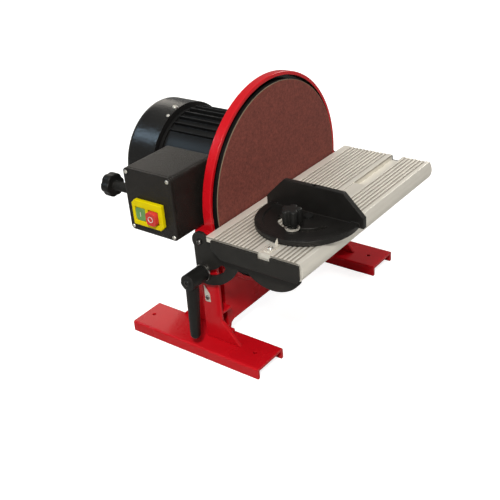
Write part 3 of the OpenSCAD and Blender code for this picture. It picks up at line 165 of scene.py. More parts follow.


# Guard frame and feet: one grey-iron casting with a round guard, a flat panel and two channel legs,
# bolted to two feet bent from heavy sheet. All in gloss red enamel, the inside of the disc's well near-black
# as painted shade.
def edge_wear_and_highlight_group():
    """Mask of rubbed edges, lightened as wear and as painted highlight: how far the normal turns within a
    small radius, broken up by noise.
    """
    group = bpy.data.node_groups.new("edge_wear_and_highlight", "ShaderNodeTree")
    for label, value in (("Radius", 0.001), ("Patch Scale", 90.0)):
        socket = group.interface.new_socket(label, in_out="INPUT", socket_type="NodeSocketFloat")
        socket.default_value = value
    group.interface.new_socket("Mask", in_out="OUTPUT", socket_type="NodeSocketFloat")
    nodes = group.nodes
    links = group.links
    given = nodes.new("NodeGroupInput")
    made = nodes.new("NodeGroupOutput")
    rounded = nodes.new("ShaderNodeBevel")
    rounded.samples = 4
    surface = nodes.new("ShaderNodeNewGeometry")
    links.new(given.outputs["Radius"], rounded.inputs["Radius"])
    turn = nodes.new("ShaderNodeVectorMath")
    turn.operation = "DOT_PRODUCT"
    links.new(rounded.outputs["Normal"], turn.inputs[0])
    links.new(surface.outputs["Normal"], turn.inputs[1])
    edge = nodes.new("ShaderNodeMapRange")
    edge.inputs["From Min"].default_value = 0.985
    edge.inputs["From Max"].default_value = 0.90
    links.new(turn.outputs["Value"], edge.inputs["Value"])
    place = nodes.new("ShaderNodeTexCoord")
    patch = nodes.new("ShaderNodeTexNoise")
    links.new(place.outputs["Object"], patch.inputs["Vector"])
    links.new(given.outputs["Patch Scale"], patch.inputs["Scale"])
    torn = nodes.new("ShaderNodeMapRange")
    torn.inputs["From Min"].default_value = 0.5
    torn.inputs["From Max"].default_value = 0.68
    links.new(patch.outputs["Fac"], torn.inputs["Value"])
    both = nodes.new("ShaderNodeMath")
    both.operation = "MULTIPLY"
    links.new(edge.outputs["Result"], both.inputs[0])
    links.new(torn.outputs["Result"], both.inputs[1])
    links.new(both.outputs["Value"], made.inputs["Mask"])
    return group


def surface_relief_group():
    """Fine height and broad mottling from two noises, on coordinates stretched along each axis."""
    group = bpy.data.node_groups.new("surface_relief", "ShaderNodeTree")
    for label, value in (("Scale", 900.0), ("Mottle Scale", 40.0)):
        socket = group.interface.new_socket(label, in_out="INPUT", socket_type="NodeSocketFloat")
        socket.default_value = value
    stretch = group.interface.new_socket("Stretch", in_out="INPUT", socket_type="NodeSocketVector")
    stretch.default_value = (1, 1, 1)
    for label in ("Height", "Mottle"):
        group.interface.new_socket(label, in_out="OUTPUT", socket_type="NodeSocketFloat")
    nodes = group.nodes
    links = group.links
    given = nodes.new("NodeGroupInput")
    made = nodes.new("NodeGroupOutput")
    place = nodes.new("ShaderNodeTexCoord")
    drawn = nodes.new("ShaderNodeVectorMath")
    drawn.operation = "MULTIPLY"
    links.new(place.outputs["Object"], drawn.inputs[0])
    links.new(given.outputs["Stretch"], drawn.inputs[1])
    for scale, output, detail in (("Scale", "Height", 3.0), ("Mottle Scale", "Mottle", 4.0)):
        noise = nodes.new("ShaderNodeTexNoise")
        noise.inputs["Detail"].default_value = detail
        links.new(drawn.outputs["Vector"], noise.inputs["Vector"])
        links.new(given.outputs[scale], noise.inputs["Scale"])
        links.new(noise.outputs["Fac"], made.inputs[output])
    return group


edge_wear_and_highlight = edge_wear_and_highlight_group()
surface_relief = surface_relief_group()


def finish_of(name, light, dark, rough, metal=0.0, grain=(900, 40), stretch=(1, 1, 1), relief=0.1,
              depth=0.0002, worn_and_lit_edge=None, coat=0.0, shine=0.5):
    """Material whose colour and roughness drift with the mottling, with fine relief and rubbed edges in a
    lighter tone that is partly wear and partly painted highlight.
    """
    material = bpy.data.materials.new(name)
    material.use_nodes = True
    nodes = material.node_tree.nodes
    links = material.node_tree.links
    shader = nodes["Principled BSDF"]
    shader.inputs["Metallic"].default_value = metal
    shader.inputs["Specular IOR Level"].default_value = shine
    shader.inputs["Coat Weight"].default_value = coat
    shader.inputs["Coat Roughness"].default_value = 0.1
    texture = nodes.new("ShaderNodeGroup")
    texture.node_tree = surface_relief
    texture.inputs["Scale"].default_value = grain[0]
    texture.inputs["Mottle Scale"].default_value = grain[1]
    texture.inputs["Stretch"].default_value = stretch
    drift = nodes.new("ShaderNodeMapRange")
    drift.inputs["From Min"].default_value = 0.3
    drift.inputs["From Max"].default_value = 0.7
    links.new(texture.outputs["Mottle"], drift.inputs["Value"])
    tone = nodes.new("ShaderNodeMix")
    tone.data_type = "RGBA"
    tone.inputs["A"].default_value = (*dark, 1)
    tone.inputs["B"].default_value = (*light, 1)
    links.new(drift.outputs["Result"], tone.inputs["Factor"])
    gloss = nodes.new("ShaderNodeMapRange")
    gloss.inputs["To Min"].default_value = rough[0]
    gloss.inputs["To Max"].default_value = rough[1]
    links.new(texture.outputs["Mottle"], gloss.inputs["Value"])
    links.new(gloss.outputs["Result"], shader.inputs["Roughness"])
    colour = tone.outputs["Result"]
    # Rubbed edges take the worn tone: partly wear, partly a painted highlight along the edges.
    if worn_and_lit_edge:
        rubbed_and_lit = nodes.new("ShaderNodeGroup")
        rubbed_and_lit.node_tree = edge_wear_and_highlight
        bare_and_lit = nodes.new("ShaderNodeMix")
        bare_and_lit.data_type = "RGBA"
        bare_and_lit.inputs["B"].default_value = (*worn_and_lit_edge, 1)
        links.new(rubbed_and_lit.outputs["Mask"], bare_and_lit.inputs["Factor"])
        links.new(colour, bare_and_lit.inputs["A"])
        colour = bare_and_lit.outputs["Result"]
    links.new(colour, shader.inputs["Base Color"])
    bump = nodes.new("ShaderNodeBump")
    bump.inputs["Strength"].default_value = relief
    bump.inputs["Distance"].default_value = depth
    links.new(texture.outputs["Height"], bump.inputs["Height"])
    links.new(bump.outputs["Normal"], shader.inputs["Normal"])
    return material


def placed(piece, body, replaced=()):
    """Links a finished piece, hangs it on the body it rides on and hides the nodes it stands for."""
    bpy.context.collection.objects.link(piece)
    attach(piece, body)
    if replaced:
        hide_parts(*replaced)


def shaded(shape, mesh, smooth_below):
    """Writes a shape into a mesh, smooth but for edges that turn by more than an angle."""
    limit = math.radians(smooth_below)
    for edge in shape.edges:
        edge.smooth = edge.is_manifold and edge.calc_face_angle() < limit
    for face in shape.faces:
        face.smooth = True
    shape.to_mesh(mesh)
    shape.free()


def mesh_piece(name, points, faces, material, body, replaced=(), smooth_below=40.0):
    """New piece from points and faces, doubles merged, faces outwards, smooth below an edge angle."""
    mesh = bpy.data.meshes.new(name)
    mesh.from_pydata(np.asarray(points).reshape(-1, 3).tolist(), [], faces)
    shape = bmesh.new()
    shape.from_mesh(mesh)
    bmesh.ops.remove_doubles(shape, verts=shape.verts, dist=2e-6)
    bmesh.ops.dissolve_degenerate(shape, edges=shape.edges, dist=1e-7)
    bmesh.ops.recalc_face_normals(shape, faces=shape.faces)
    shaded(shape, mesh, smooth_below)
    mesh.materials.append(material)
    placed(bpy.data.objects.new(name, mesh), body, replaced)


def merged_copy(node):
    """Shape with a node's corners, its loose triangles merged and its flat faces joined."""
    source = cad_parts[node].data
    source.calc_loop_triangles()
    corners = np.zeros(len(source.vertices) * 3)
    source.vertices.foreach_get("co", corners)
    triangles = np.zeros(len(source.loop_triangles) * 3, int)
    source.loop_triangles.foreach_get("vertices", triangles)
    mesh = bpy.data.meshes.new(node + "_finished")
    mesh.from_pydata(corners.reshape(-1, 3).tolist(), [], triangles.reshape(-1, 3).tolist())
    shape = bmesh.new()
    shape.from_mesh(mesh)
    bmesh.ops.remove_doubles(shape, verts=shape.verts, dist=1e-6)
    bmesh.ops.dissolve_limit(shape, angle_limit=math.radians(0.5), verts=shape.verts, edges=shape.edges)
    return mesh, shape


def edges_to_round(shape, radius, steps):
    """Sharp edges that take a radius: a trial rounding drops those near which the skin tears or folds,
    seen as points off the old skin or faces against it, until the trial is sound."""
    sharp = math.radians(32)
    tries = 8
    off_skin = 0.7 * radius
    torn_reach = 3 * radius
    against_skin = -0.2
    shape.verts.index_update()
    shape.edges.index_update()
    skin = BVHTree.FromBMesh(shape)
    tree = KDTree(len(shape.verts))
    for vert in shape.verts:
        tree.insert(vert.co, vert.index)
    tree.balance()
    chosen = {edge.index for edge in shape.edges if edge.is_manifold and edge.calc_face_angle() > sharp}
    for _ in range(tries):
        trial = shape.copy()
        trial.edges.ensure_lookup_table()
        bmesh.ops.bevel(trial, geom=[trial.edges[i] for i in sorted(chosen)], offset=radius,
                        offset_type="OFFSET", segments=steps, profile=0.5, affect="EDGES")
        trial.normal_update()
        faults = {vert for vert in trial.verts if skin.find_nearest(vert.co)[3] > off_skin}
        for face in trial.faces:
            if face.normal.dot(skin.find_nearest(face.calc_center_median())[1]) < against_skin:
                faults.update(face.verts)
        around = {tuple(other.co) for vert in faults for edge in vert.link_edges for other in edge.verts}
        torn = {index for spot in around for _, index, _ in tree.find_range(spot, torn_reach)}
        trial.free()
        dropped = {edge.index for edge in shape.edges
                   if edge.index in chosen and any(vert.index in torn for vert in edge.verts)}
        if not faults:
            return chosen
        if not dropped:
            return set()
        chosen -= dropped
    return set()


def rounded_copy(node, material, body, radius, steps=2, wide=None, wide_radius=0.0):
    """Copy of a CAD node with each sharp edge that takes it rounded, and wide-radius bends first."""
    mesh, shape = merged_copy(node)
    if wide:
        bmesh.ops.bevel(shape, geom=[edge for edge in shape.edges if wide(edge)], offset=wide_radius,
                        offset_type="OFFSET", segments=5, profile=0.5, affect="EDGES")
    chosen = edges_to_round(shape, radius, steps)
    shape.edges.ensure_lookup_table()
    bmesh.ops.bevel(shape, geom=[shape.edges[i] for i in sorted(chosen)], offset=radius,
                    offset_type="OFFSET", segments=steps, profile=0.5, affect="EDGES")
    shaded(shape, mesh, 50)
    mesh.materials.append(material)
    piece = bpy.data.objects.new(node + "_finished", mesh)
    levelling = piece.modifiers.new("flat_face_normals", "WEIGHTED_NORMAL")
    levelling.keep_sharp = True
    placed(piece, body, [node])


def faded(tree, value, start, end):
    """Value carried from 0 at start to 1 at end, and held beyond both."""
    band = tree.nodes.new("ShaderNodeMapRange")
    band.inputs["From Min"].default_value = start
    band.inputs["From Max"].default_value = end
    tree.links.new(value, band.inputs["Value"])
    return band.outputs["Result"]


disc_low, disc_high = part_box("disc_plate")
spindle_z = (disc_low.z + disc_high.z) / 2


def spindle_distance(tree):
    """Distance from the spindle's axis: the length of (x, 0, z - spindle_z) in object coordinates."""
    place = tree.nodes.new("ShaderNodeTexCoord")
    centred = tree.nodes.new("ShaderNodeVectorMath")
    centred.operation = "MULTIPLY_ADD"
    centred.inputs[1].default_value = (1, 0, 1)
    centred.inputs[2].default_value = (0, 0, -spindle_z)
    tree.links.new(place.outputs["Object"], centred.inputs[0])
    reach = tree.nodes.new("ShaderNodeVectorMath")
    reach.operation = "LENGTH"
    tree.links.new(centred.outputs["Vector"], reach.inputs[0])
    return reach.outputs["Value"]


def tinted(material, mask, colour):
    """Lays a colour over a material's own colour where a mask is set."""
    tree = material.node_tree
    shader = tree.nodes["Principled BSDF"]
    tint = tree.nodes.new("ShaderNodeMix")
    tint.data_type = "RGBA"
    tint.inputs["B"].default_value = (*colour, 1)
    tree.links.new(shader.inputs["Base Color"].links[0].from_socket, tint.inputs["A"])
    tree.links.new(mask, tint.inputs["Factor"])
    tree.links.new(tint.outputs["Result"], shader.inputs["Base Color"])


red_enamel = finish_of("red_enamel", (0.48, 0.0045, 0.010), (0.42, 0.0035, 0.008), (0.22, 0.34),
                       grain=(420, 18), relief=0.1, depth=0.0003, worn_and_lit_edge=(0.7, 0.06, 0.055), coat=0.22,
                       shine=0.12)
well_gap = 0.0055
well_depth = 0.013
wall_skin = 0.0003
wall_blend = 0.0004
floor_skin = 0.0005
floor_blend = 0.001
well_r = disc_high.x + well_gap
well_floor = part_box("abrasive_disc")[0].y + well_depth
enamel_tree = red_enamel.node_tree
# Painted shade in the disc's well: the enamel turns near-black inside the well's wall and in front of its
# floor.
inside_wall = faded(enamel_tree, spindle_distance(enamel_tree), well_r + wall_skin + wall_blend,
                    well_r + wall_skin)
before_floor = faded(enamel_tree, object_axes(enamel_tree)["Y"], well_floor + floor_skin + floor_blend,
                     well_floor + floor_skin)
well_painted_shade = math_node(enamel_tree, "MULTIPLY", inside_wall, before_floor)
tinted(red_enamel, well_painted_shade, (0.006, 0.0055, 0.005))
rounded_copy("main_frame", red_enamel, "frame", radius=0.0014, steps=3)
foot_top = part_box("left_foot")[1].z


def bent_edge(edge):
    """Long upper edges of a foot, where the sheet is bent."""
    ends = [vert.co for vert in edge.verts]
    return min(ends[0].z, ends[1].z) > foot_top - 1e-5 and abs(ends[0].y - ends[1].y) > 0.1


for foot in ("left_foot", "right_foot"):
    rounded_copy(foot, red_enamel, "frame", radius=0.0005, wide=bent_edge, wide_radius=0.003)

bright_steel = finish_of("bright_steel", (0.66, 0.65, 0.62), (0.5, 0.49, 0.47), (0.22, 0.4), metal=1.0,
                         grain=(2600, 120), relief=0.05, depth=0.0001)
for node in ("foot_bolts", "motor_bolts", "tie_bolts", "clamp_studs", "box_screws", "front_bearing",
             "rear_bearing", "disc_set_screws", "motor_shaft", "brake_spring", "mitre_stud"):
    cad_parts[node].data.materials[0] = bright_steel

# Motor: cast-alloy shields and a finned barrel under black enamel, the rear shield darkened with painted
# shade, and a spun steel cowl over the fan.
# The cowl is held to the rear shield by pan-head screws round its edge.
motor_black = finish_of("motor_black", (0.006, 0.006, 0.006), (0.004, 0.004, 0.004), (0.3, 0.46),
                        grain=(700, 30), relief=0.08, depth=0.0002, worn_and_lit_edge=(0.04, 0.04, 0.042), shine=0.22)
for node, radius in (("motor_housing", 0.0005), ("motor_front_shield", 0.0008)):
    rounded_copy(node, motor_black, "frame", radius)
# The rear shield is a darker, rougher black than the housing; its darker colour is painted shade between the
# cowl and the fins.
shaded_shield_black = finish_of("shaded_shield_black", (0.005, 0.005, 0.005), (0.003, 0.003, 0.003), (0.5, 0.65),
                         grain=(700, 30), relief=0.08, shine=0.25)
rounded_copy("motor_rear_shield", shaded_shield_black, "frame", 0.0006)
cowl_black = finish_of("cowl_black", (0.008, 0.008, 0.0075), (0.005, 0.005, 0.005), (0.18, 0.28),
                       grain=(300, 25), relief=0.6, depth=0.0007, worn_and_lit_edge=(0.04, 0.04, 0.04), shine=0.34)
rounded_copy("fan_cowl", cowl_black, "frame", 0.0004)


def turned_about(axis, seat, outline, around):
    """Surface turned about an axis: each outline point (radius, height) swept round seat."""
    radius, height = np.array(outline, float).T
    angle = np.linspace(0, 2 * np.pi, around, endpoint=False)
    turn = np.array(Vector(axis).to_track_quat("Z", "Y").to_matrix())
    ring = np.stack([np.cos(angle), np.sin(angle), np.zeros(around)], -1)
    points = radius[:, None, None] * ring[None] + height[:, None, None] * np.array([0, 0, 1.0])
    return points @ turn.T + np.array(seat)


def grid_faces(rows, columns, start=0, wrap=True):
    """Quads of a grid of points, closed along its columns when wrap is set."""
    row = np.arange(rows - 1)[:, None] * columns
    column = np.arange(columns if wrap else columns - 1)[None]
    after = (column + 1) % columns
    quads = np.stack([row + column, row + after, row + columns + after, row + columns + column], -1)
    return (quads.reshape(-1, 4) + start).tolist()


def driven_screw(axis, seat, head_r, head_t, shank_r, shank_l, recess="cross"):
    """Screw: a dome z = t (0.35 + 0.65 sqrt(1 - (r / R)^2)) cut by a recess whose rim is a polar curve,
    r = min(a / cos f, 0.268 a / sin f) for a cross and r = a / cos f for a hexagon, f the folded angle."""
    around = 48
    angle = np.linspace(0, 2 * np.pi, around, endpoint=False)
    sector = np.pi / 2 if recess == "cross" else np.pi / 3
    folded = np.abs((angle + sector / 2) % sector - sector / 2)
    arm_share = 0.6 if recess == "cross" else 0.45
    floor_rise_share = 0.3
    floor_in_share = 0.85
    arm = head_r * arm_share
    rim = arm / np.cos(folded)
    if recess == "cross":
        rim = np.minimum(rim, 0.268 * arm / np.maximum(np.sin(folded), 1e-6))
    share = np.linspace(0, 1, 8)[:, None]
    radius = rim * (1 - share) + head_r * share
    height = head_t * (0.35 + 0.65 * np.sqrt(np.clip(1 - (radius / head_r) ** 2, 0, 1)))
    floor = np.full(around, head_t * floor_rise_share)
    flat = np.ones(around)
    radii = np.concatenate([[flat * 0, rim * floor_in_share], radius,
                            [flat * head_r, flat * shank_r, flat * shank_r, flat * 0]])
    heights = np.concatenate([[floor, floor], height,
                              [flat * 0, flat * 0, -shank_l * flat, -shank_l * flat]])
    points = np.stack([radii * np.cos(angle), radii * np.sin(angle), heights], -1)
    turn = np.array(Vector(axis).to_track_quat("Z", "Y").to_matrix())
    return points.reshape(-1, 3) @ turn.T + np.array(seat), grid_faces(len(radii), around)


def screw_set(name, screws, material, body, replaced):
    """One piece from several screws, their points and faces laid end to end."""
    points = []
    faces = []
    for screw_points, screw_faces in screws:
        start = sum(len(p) for p in points)
        points.append(screw_points)
        faces += (np.array(screw_faces) + start).tolist()
    mesh_piece(name, np.concatenate(points), faces, material, body, replaced)


zinc_plate = finish_of("zinc_plate", (0.86, 0.85, 0.80), (0.7, 0.69, 0.65), (0.22, 0.4), metal=1.0,
                       grain=(1800, 200), relief=0.04, depth=0.0001)
cowl_low, cowl_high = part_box("fan_cowl")
cowl_row_in = 0.008
small_row_out = 0.0032
cowl_head_r = 0.0046
small_head_r = 0.0028
head_t_share = 0.62
shank_r_share = 0.42
cowl_row = cowl_low.y + cowl_row_in
cowl_places = [(degrees, cowl_head_r, cowl_row) for degrees in (-10, -100, -190, -280)]
cowl_places.append((-24, small_head_r, cowl_row - small_row_out))
cowl_set = []
for degrees, head_r, row in cowl_places:
    out = np.array((math.sin(math.radians(degrees)), 0, math.cos(math.radians(degrees))))
    seat = out * cowl_high.x + (0, row, spindle_z)
    cowl_set.append(driven_screw(out, seat, head_r, head_t=head_r * head_t_share,
                                 shank_r=head_r * shank_r_share, shank_l=0.008))
screw_set("cowl_screw_set", cowl_set, zinc_plate, "frame", ["cowl_screws"])

lamination = finish_of("lamination", (0.3, 0.29, 0.28), (0.18, 0.17, 0.165), (0.35, 0.55), metal=0.9,
                       grain=(1500, 60), stretch=(0.05, 1, 0.05), relief=0.3)
enamelled_copper = finish_of("enamelled_copper", (0.5, 0.2, 0.07), (0.34, 0.12, 0.04), (0.25, 0.4),
                             metal=0.8, grain=(800, 60), stretch=(0.3, 1, 0.3), relief=0.4)
can_skin = finish_of("can_skin", (0.75, 0.75, 0.75), (0.62, 0.62, 0.62), (0.25, 0.4), metal=1.0)
for node, skin_material in (("stator_core", lamination), ("rotor_core", lamination),
                            ("stator_windings", enamelled_copper), ("run_capacitor", can_skin)):
    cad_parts[node].data.materials[0] = skin_material

# Switch box: a moulded black case with a screwed cover, carrying a yellow bezel, a flush green start
# button and a raised red stop button with plain I and O marks.
box_black = finish_of("box_black", (0.015, 0.013, 0.0115), (0.010, 0.009, 0.008), (0.3, 0.42),
                      grain=(480, 60), relief=1.0, depth=0.0009, worn_and_lit_edge=(0.04, 0.037, 0.033), shine=0.15)
for node, radius in (("switch_box", 0.0012), ("switch_cover", 0.0014), ("cable_gland", 0.0006)):
    rounded_copy(node, box_black, "frame", radius)
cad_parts["switch_body"].data.materials[0] = box_black
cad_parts["cooling_fan"].data.materials[0] = box_black
cover_low, cover_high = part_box("cover_screws")
cover_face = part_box("switch_cover")[0].x
cover_head_r = 0.003
cover_set = [driven_screw((-1, 0, 0), (cover_face, y, z), cover_head_r, head_t=0.002, shank_r=0.0015,
                          shank_l=0.02)
             for y in (cover_low.y + cover_head_r, cover_high.y - cover_head_r)
             for z in (cover_low.z + cover_head_r, cover_high.z - cover_head_r)]
screw_set("cover_screw_set", cover_set, zinc_plate, "frame", ["cover_screws"])
bezel_yellow = finish_of("bezel_yellow", (0.62, 0.5, 0.0005), (0.57, 0.46, 0.0005), (0.3, 0.42),
                         grain=(1200, 50), relief=0.08, shine=0.06)
rounded_copy("switch_bezel", bezel_yellow, "frame", 0.0012, steps=3)


def key_cap(node, material, body, dish):
    """Push button: a superellipse, |cos|^p and |sin|^p, carried from its root to its face, whose rounded
    edge is followed by a dish of depth d (1 - (s / 0.93)^2) at share s of the outline."""
    around = 64
    power = 0.56
    edge = 0.0012
    low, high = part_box(node)
    middle = (low + high) / 2
    half = (high - low) / 2
    angle = np.linspace(0, 2 * np.pi, around, endpoint=False)
    ring = np.stack([np.sign(np.cos(angle)) * np.abs(np.cos(angle)) ** power,
                     np.sign(np.sin(angle)) * np.abs(np.sin(angle)) ** power], -1)
    turn = np.linspace(0.3, math.pi / 2, 5)
    inward = np.array((0.86, 0.7, 0.5, 0.3, 0.12, 0.0))
    share = np.concatenate([[0, 1, 1], 1 - edge / half.y * (1 - np.cos(turn)), inward])
    depth = np.concatenate([[high.x, high.x, low.x + edge], low.x + edge * (1 - np.sin(turn)),
                            low.x + dish * (1 - (inward / 0.93) ** 2)])
    flat = ring[None] * share[:, None, None] * (half.y, half.z) + (middle.y, middle.z)
    points = np.concatenate([np.broadcast_to(depth[:, None, None], (len(share), around, 1)), flat], -1)
    mesh_piece(node + "_cap", points, grid_faces(len(share), around), material, body, [node])


start_green = finish_of("start_green", (0.13, 0.27, 0.09), (0.105, 0.23, 0.075), (0.28, 0.4),
                        grain=(1200, 50), relief=0.05, shine=0.15)
stop_red = finish_of("stop_red", (0.52, 0.042, 0.032), (0.45, 0.03, 0.024), (0.26, 0.38),
                     grain=(1200, 50), relief=0.05, shine=0.15)
key_cap("start_button", start_green, "start_button", dish=0.0005)
key_cap("stop_button", stop_red, "stop_button", dish=0.0006)
mark_white = finish_of("mark_white", (0.6, 0.57, 0.54), (0.54, 0.51, 0.48), (0.4, 0.55), relief=0.03)
start_low, start_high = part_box("start_button")
stop_low, stop_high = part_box("stop_button")
bar_half = 0.0004
bar_tall = 0.0035
mark_lift = 0.0001
mark_root = 0.0006
start_middle = (start_low + start_high) / 2
bar_y, bar_z = np.meshgrid((-bar_half, bar_half), (-bar_tall, bar_tall))
bar_points = np.concatenate([
    np.stack([np.full(4, start_low.x + depth), bar_y.ravel() + start_middle.y,
              bar_z.ravel() + start_middle.z], -1) for depth in (-mark_lift, mark_root)])
mesh_piece("start_mark", bar_points,
           [(0, 1, 3, 2), (4, 6, 7, 5), (0, 4, 5, 1), (1, 5, 7, 3), (3, 7, 6, 2), (2, 6, 4, 0)],
           mark_white, "start_button")
stop_middle = (stop_low + stop_high) / 2
ring_in = 0.0037
ring_out = 0.0045
ring_top = mark_lift + mark_root
ring_outline = [(ring_in, 0.0), (ring_out, 0.0), (ring_out, ring_top), (ring_in, ring_top), (ring_in, 0.0)]
ring_points = turned_about((-1, 0, 0), (stop_low.x + mark_root, stop_middle.y, stop_middle.z),
                           ring_outline, 48)
mesh_piece("stop_mark", ring_points, grid_faces(5, 48), mark_white, "stop_button")

# Disc: a turned aluminium plate under black paint on the motor shaft, faced with a sheet of
# red-brown grit whose pale cloth backing shows at the cut edge.
disc_black = finish_of("disc_black", (0.007, 0.007, 0.007), (0.005, 0.005, 0.005), (0.35, 0.5),
                       grain=(2200, 80), relief=0.1, depth=0.0001, shine=0.25)
rounded_copy("disc_plate", disc_black, "spindle", 0.0005)
grit = bpy.data.materials.new("grit")
grit.use_nodes = True
grit_tree = grit.node_tree
grit_shader = grit_tree.nodes["Principled BSDF"]
grit_shader.inputs["Roughness"].default_value = 0.85
grit_place = grit_tree.nodes.new("ShaderNodeTexCoord")
grit_grains = []
for scale, detail in ((1100, 2.0), (300, 4.0)):
    grains = grit_tree.nodes.new("ShaderNodeTexNoise")
    grains.inputs["Scale"].default_value = scale
    grains.inputs["Detail"].default_value = detail
    grit_tree.links.new(grit_place.outputs["Object"], grains.inputs["Vector"])
    grit_grains.append(grains.outputs["Fac"])
fine_share = 0.55
coarse_part = math_node(grit_tree, "MULTIPLY", grit_grains[1], 1 - fine_share)
grit_mean = math_node(grit_tree, "MULTIPLY_ADD", grit_grains[0], fine_share, coarse_part)
grit_ramp = grit_tree.nodes.new("ShaderNodeValToRGB")
for element, position, colour in zip(grit_ramp.color_ramp.elements, (0.34, 0.66),
                                     ((0.06, 0.011, 0.007, 1), (0.235, 0.048, 0.033, 1))):
    element.position = position
    element.color = colour
grit_tree.links.new(grit_mean, grit_ramp.inputs["Fac"])
grit_tree.links.new(grit_ramp.outputs["Color"], grit_shader.inputs["Base Color"])
sheet_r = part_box("abrasive_disc")[1].x
cut_in = 0.0004
cut_blend = 0.0005
cut_edge = faded(grit_tree, spindle_distance(grit_tree), sheet_r - cut_in - cut_blend, sheet_r - cut_in)
tinted(grit, cut_edge, (0.17, 0.125, 0.08))
grit_bump = grit_tree.nodes.new("ShaderNodeBump")
grit_bump.inputs["Strength"].default_value = 0.5
grit_bump.inputs["Distance"].default_value = 0.0004
grit_tree.links.new(grit_mean, grit_bump.inputs["Height"])
grit_tree.links.new(grit_bump.outputs["Normal"], grit_shader.inputs["Normal"])
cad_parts["abrasive_disc"].data.materials[0] = grit

# Table: an extruded aluminium plate with fine ribs along its length and a mitre slot, on two black
# cast brackets whose curved slots let it tilt. Socket-head screws form the pivots.
extruded_alloy = finish_of("extruded_alloy", (0.80, 0.77, 0.70), (0.71, 0.68, 0.62), (0.36, 0.5),
                           metal=0.55, grain=(2600, 60), stretch=(0.02, 1, 1), relief=0.05, depth=0.0001)
table_low, table_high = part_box("table")
rib_skin = 0.0003
groove_shade = 0.0009
slot_shade = 0.002
slot_clear = 0.004
nose_plain = 0.006
nose_blend = 0.002
alloy_tree = extruded_alloy.node_tree
alloy_axes = object_axes(alloy_tree)
nose_end = table_low.y + nose_plain
# Painted shade in the grooves between the ribs: the alloy darkens below the rib tops, but not on the mitre
# slot's floor nor along the nose.
below_ribs = faded(alloy_tree, alloy_axes["Z"], table_high.z - rib_skin, table_high.z - groove_shade)
above_slot = faded(alloy_tree, alloy_axes["Z"], table_high.z - slot_clear, table_high.z - slot_shade)
behind_nose = faded(alloy_tree, alloy_axes["Y"], nose_end, nose_end + nose_blend)
in_ribs = math_node(alloy_tree, "MULTIPLY", below_ribs, above_slot)
groove_painted_shade = math_node(alloy_tree, "MULTIPLY", in_ribs, behind_nose)
tinted(extruded_alloy, groove_painted_shade, (0.32, 0.295, 0.255))
rounded_copy("table", extruded_alloy, "table", 0.0003)
bracket_black = finish_of("bracket_black", (0.014, 0.013, 0.0115), (0.009, 0.0085, 0.0075), (0.42, 0.56),
                          grain=(1100, 40), relief=0.25, depth=0.0003, worn_and_lit_edge=(0.05, 0.047, 0.042), shine=0.25)
for node in ("left_bracket", "right_bracket"):
    rounded_copy(node, bracket_black, "table", 0.0008)
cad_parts["table_screws"].data.materials[0] = zinc_plate
pale_plate = finish_of("pale_plate", (0.74, 0.71, 0.64), (0.6, 0.57, 0.51), (0.3, 0.45), metal=0.5,
                       grain=(1800, 200), relief=0.05, depth=0.0001)
for node in ("tilt_pointer", "mitre_washer", "mitre_pointer"):
    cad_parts[node].data.materials[0] = pale_plate
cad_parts["clamp_washers"].data.materials[0] = bright_steel
dull_steel = finish_of("dull_steel", (0.3, 0.29, 0.28), (0.2, 0.195, 0.19), (0.25, 0.4), metal=1.0,
                       grain=(1800, 200), relief=0.06, depth=0.0001)
pivot_low, pivot_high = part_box("pivot_screws")
pivot_y = (pivot_low.y + pivot_high.y) / 2
pivot_z = (pivot_low.z + pivot_high.z) / 2
pivot_head_r = (pivot_high.z - pivot_low.z) / 2
plate_out = 0.1755
pivot_clear = 0.0004
pivot_seat_x = plate_out + pivot_clear
pivot_set = [driven_screw((side, 0, 0), (side * pivot_seat_x, pivot_y, pivot_z), pivot_head_r,
                          head_t=-pivot_low.x - pivot_seat_x, shank_r=0.0035, shank_l=0.03,
                          recess="hexagon")
             for side in (-1, 1)]
screw_set("pivot_screw_set", pivot_set, dull_steel, "frame", ["pivot_screws"])
tilt_low, tilt_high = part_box("tilt_pointer_screw")
tilt_head_r = (tilt_high.z - tilt_low.z) / 2
tilt_seat = (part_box("tilt_pointer")[0].x, (tilt_low.y + tilt_high.y) / 2, (tilt_low.z + tilt_high.z) / 2)
tilt_set = [driven_screw((-1, 0, 0), tilt_seat, tilt_head_r, head_t=tilt_seat[0] - tilt_low.x,
                         shank_r=0.0015, shank_l=0.006)]
screw_set("tilt_pointer_screw_set", tilt_set, dull_steel, "frame", ["tilt_pointer_screw"])

# Clamp levers: moulded black handles on the clamp studs, one at each end of the table, each held by
# a blackened socket screw in the end of its hub.
handle_black = finish_of("handle_black", (0.009, 0.009, 0.0085), (0.006, 0.006, 0.0055), (0.36, 0.5),
                         grain=(1300, 60), relief=0.25, depth=0.0002, shine=0.2)
black_steel = finish_of("black_steel", (0.012, 0.012, 0.012), (0.008, 0.008, 0.008), (0.28, 0.42),
                        grain=(1800, 120), relief=0.08, depth=0.0001, shine=0.3)
for side, name in ((-1, "left"), (1, "right")):
    rounded_copy(name + "_clamp_lever", handle_black, name + "_lever", 0.0014, steps=3)
    lever_low, lever_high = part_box(name + "_clamp_lever")
    screw_low, screw_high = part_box(name + "_lever_screw")
    hub_end = max(abs(lever_low.x), abs(lever_high.x))
    screw_reach = max(abs(screw_low.x), abs(screw_high.x))
    lever_head_r = (screw_high.z - screw_low.z) / 2
    lever_seat = (side * hub_end, (screw_low.y + screw_high.y) / 2, (screw_low.z + screw_high.z) / 2)
    lever_set = [driven_screw((side, 0, 0), lever_seat, lever_head_r, head_t=screw_reach - hub_end,
                              shank_r=0.0025, shank_l=0.006, recess="hexagon")]
    screw_set(name + "_lever_screw_set", lever_set, black_steel, name + "_lever",
              [name + "_lever_screw"])

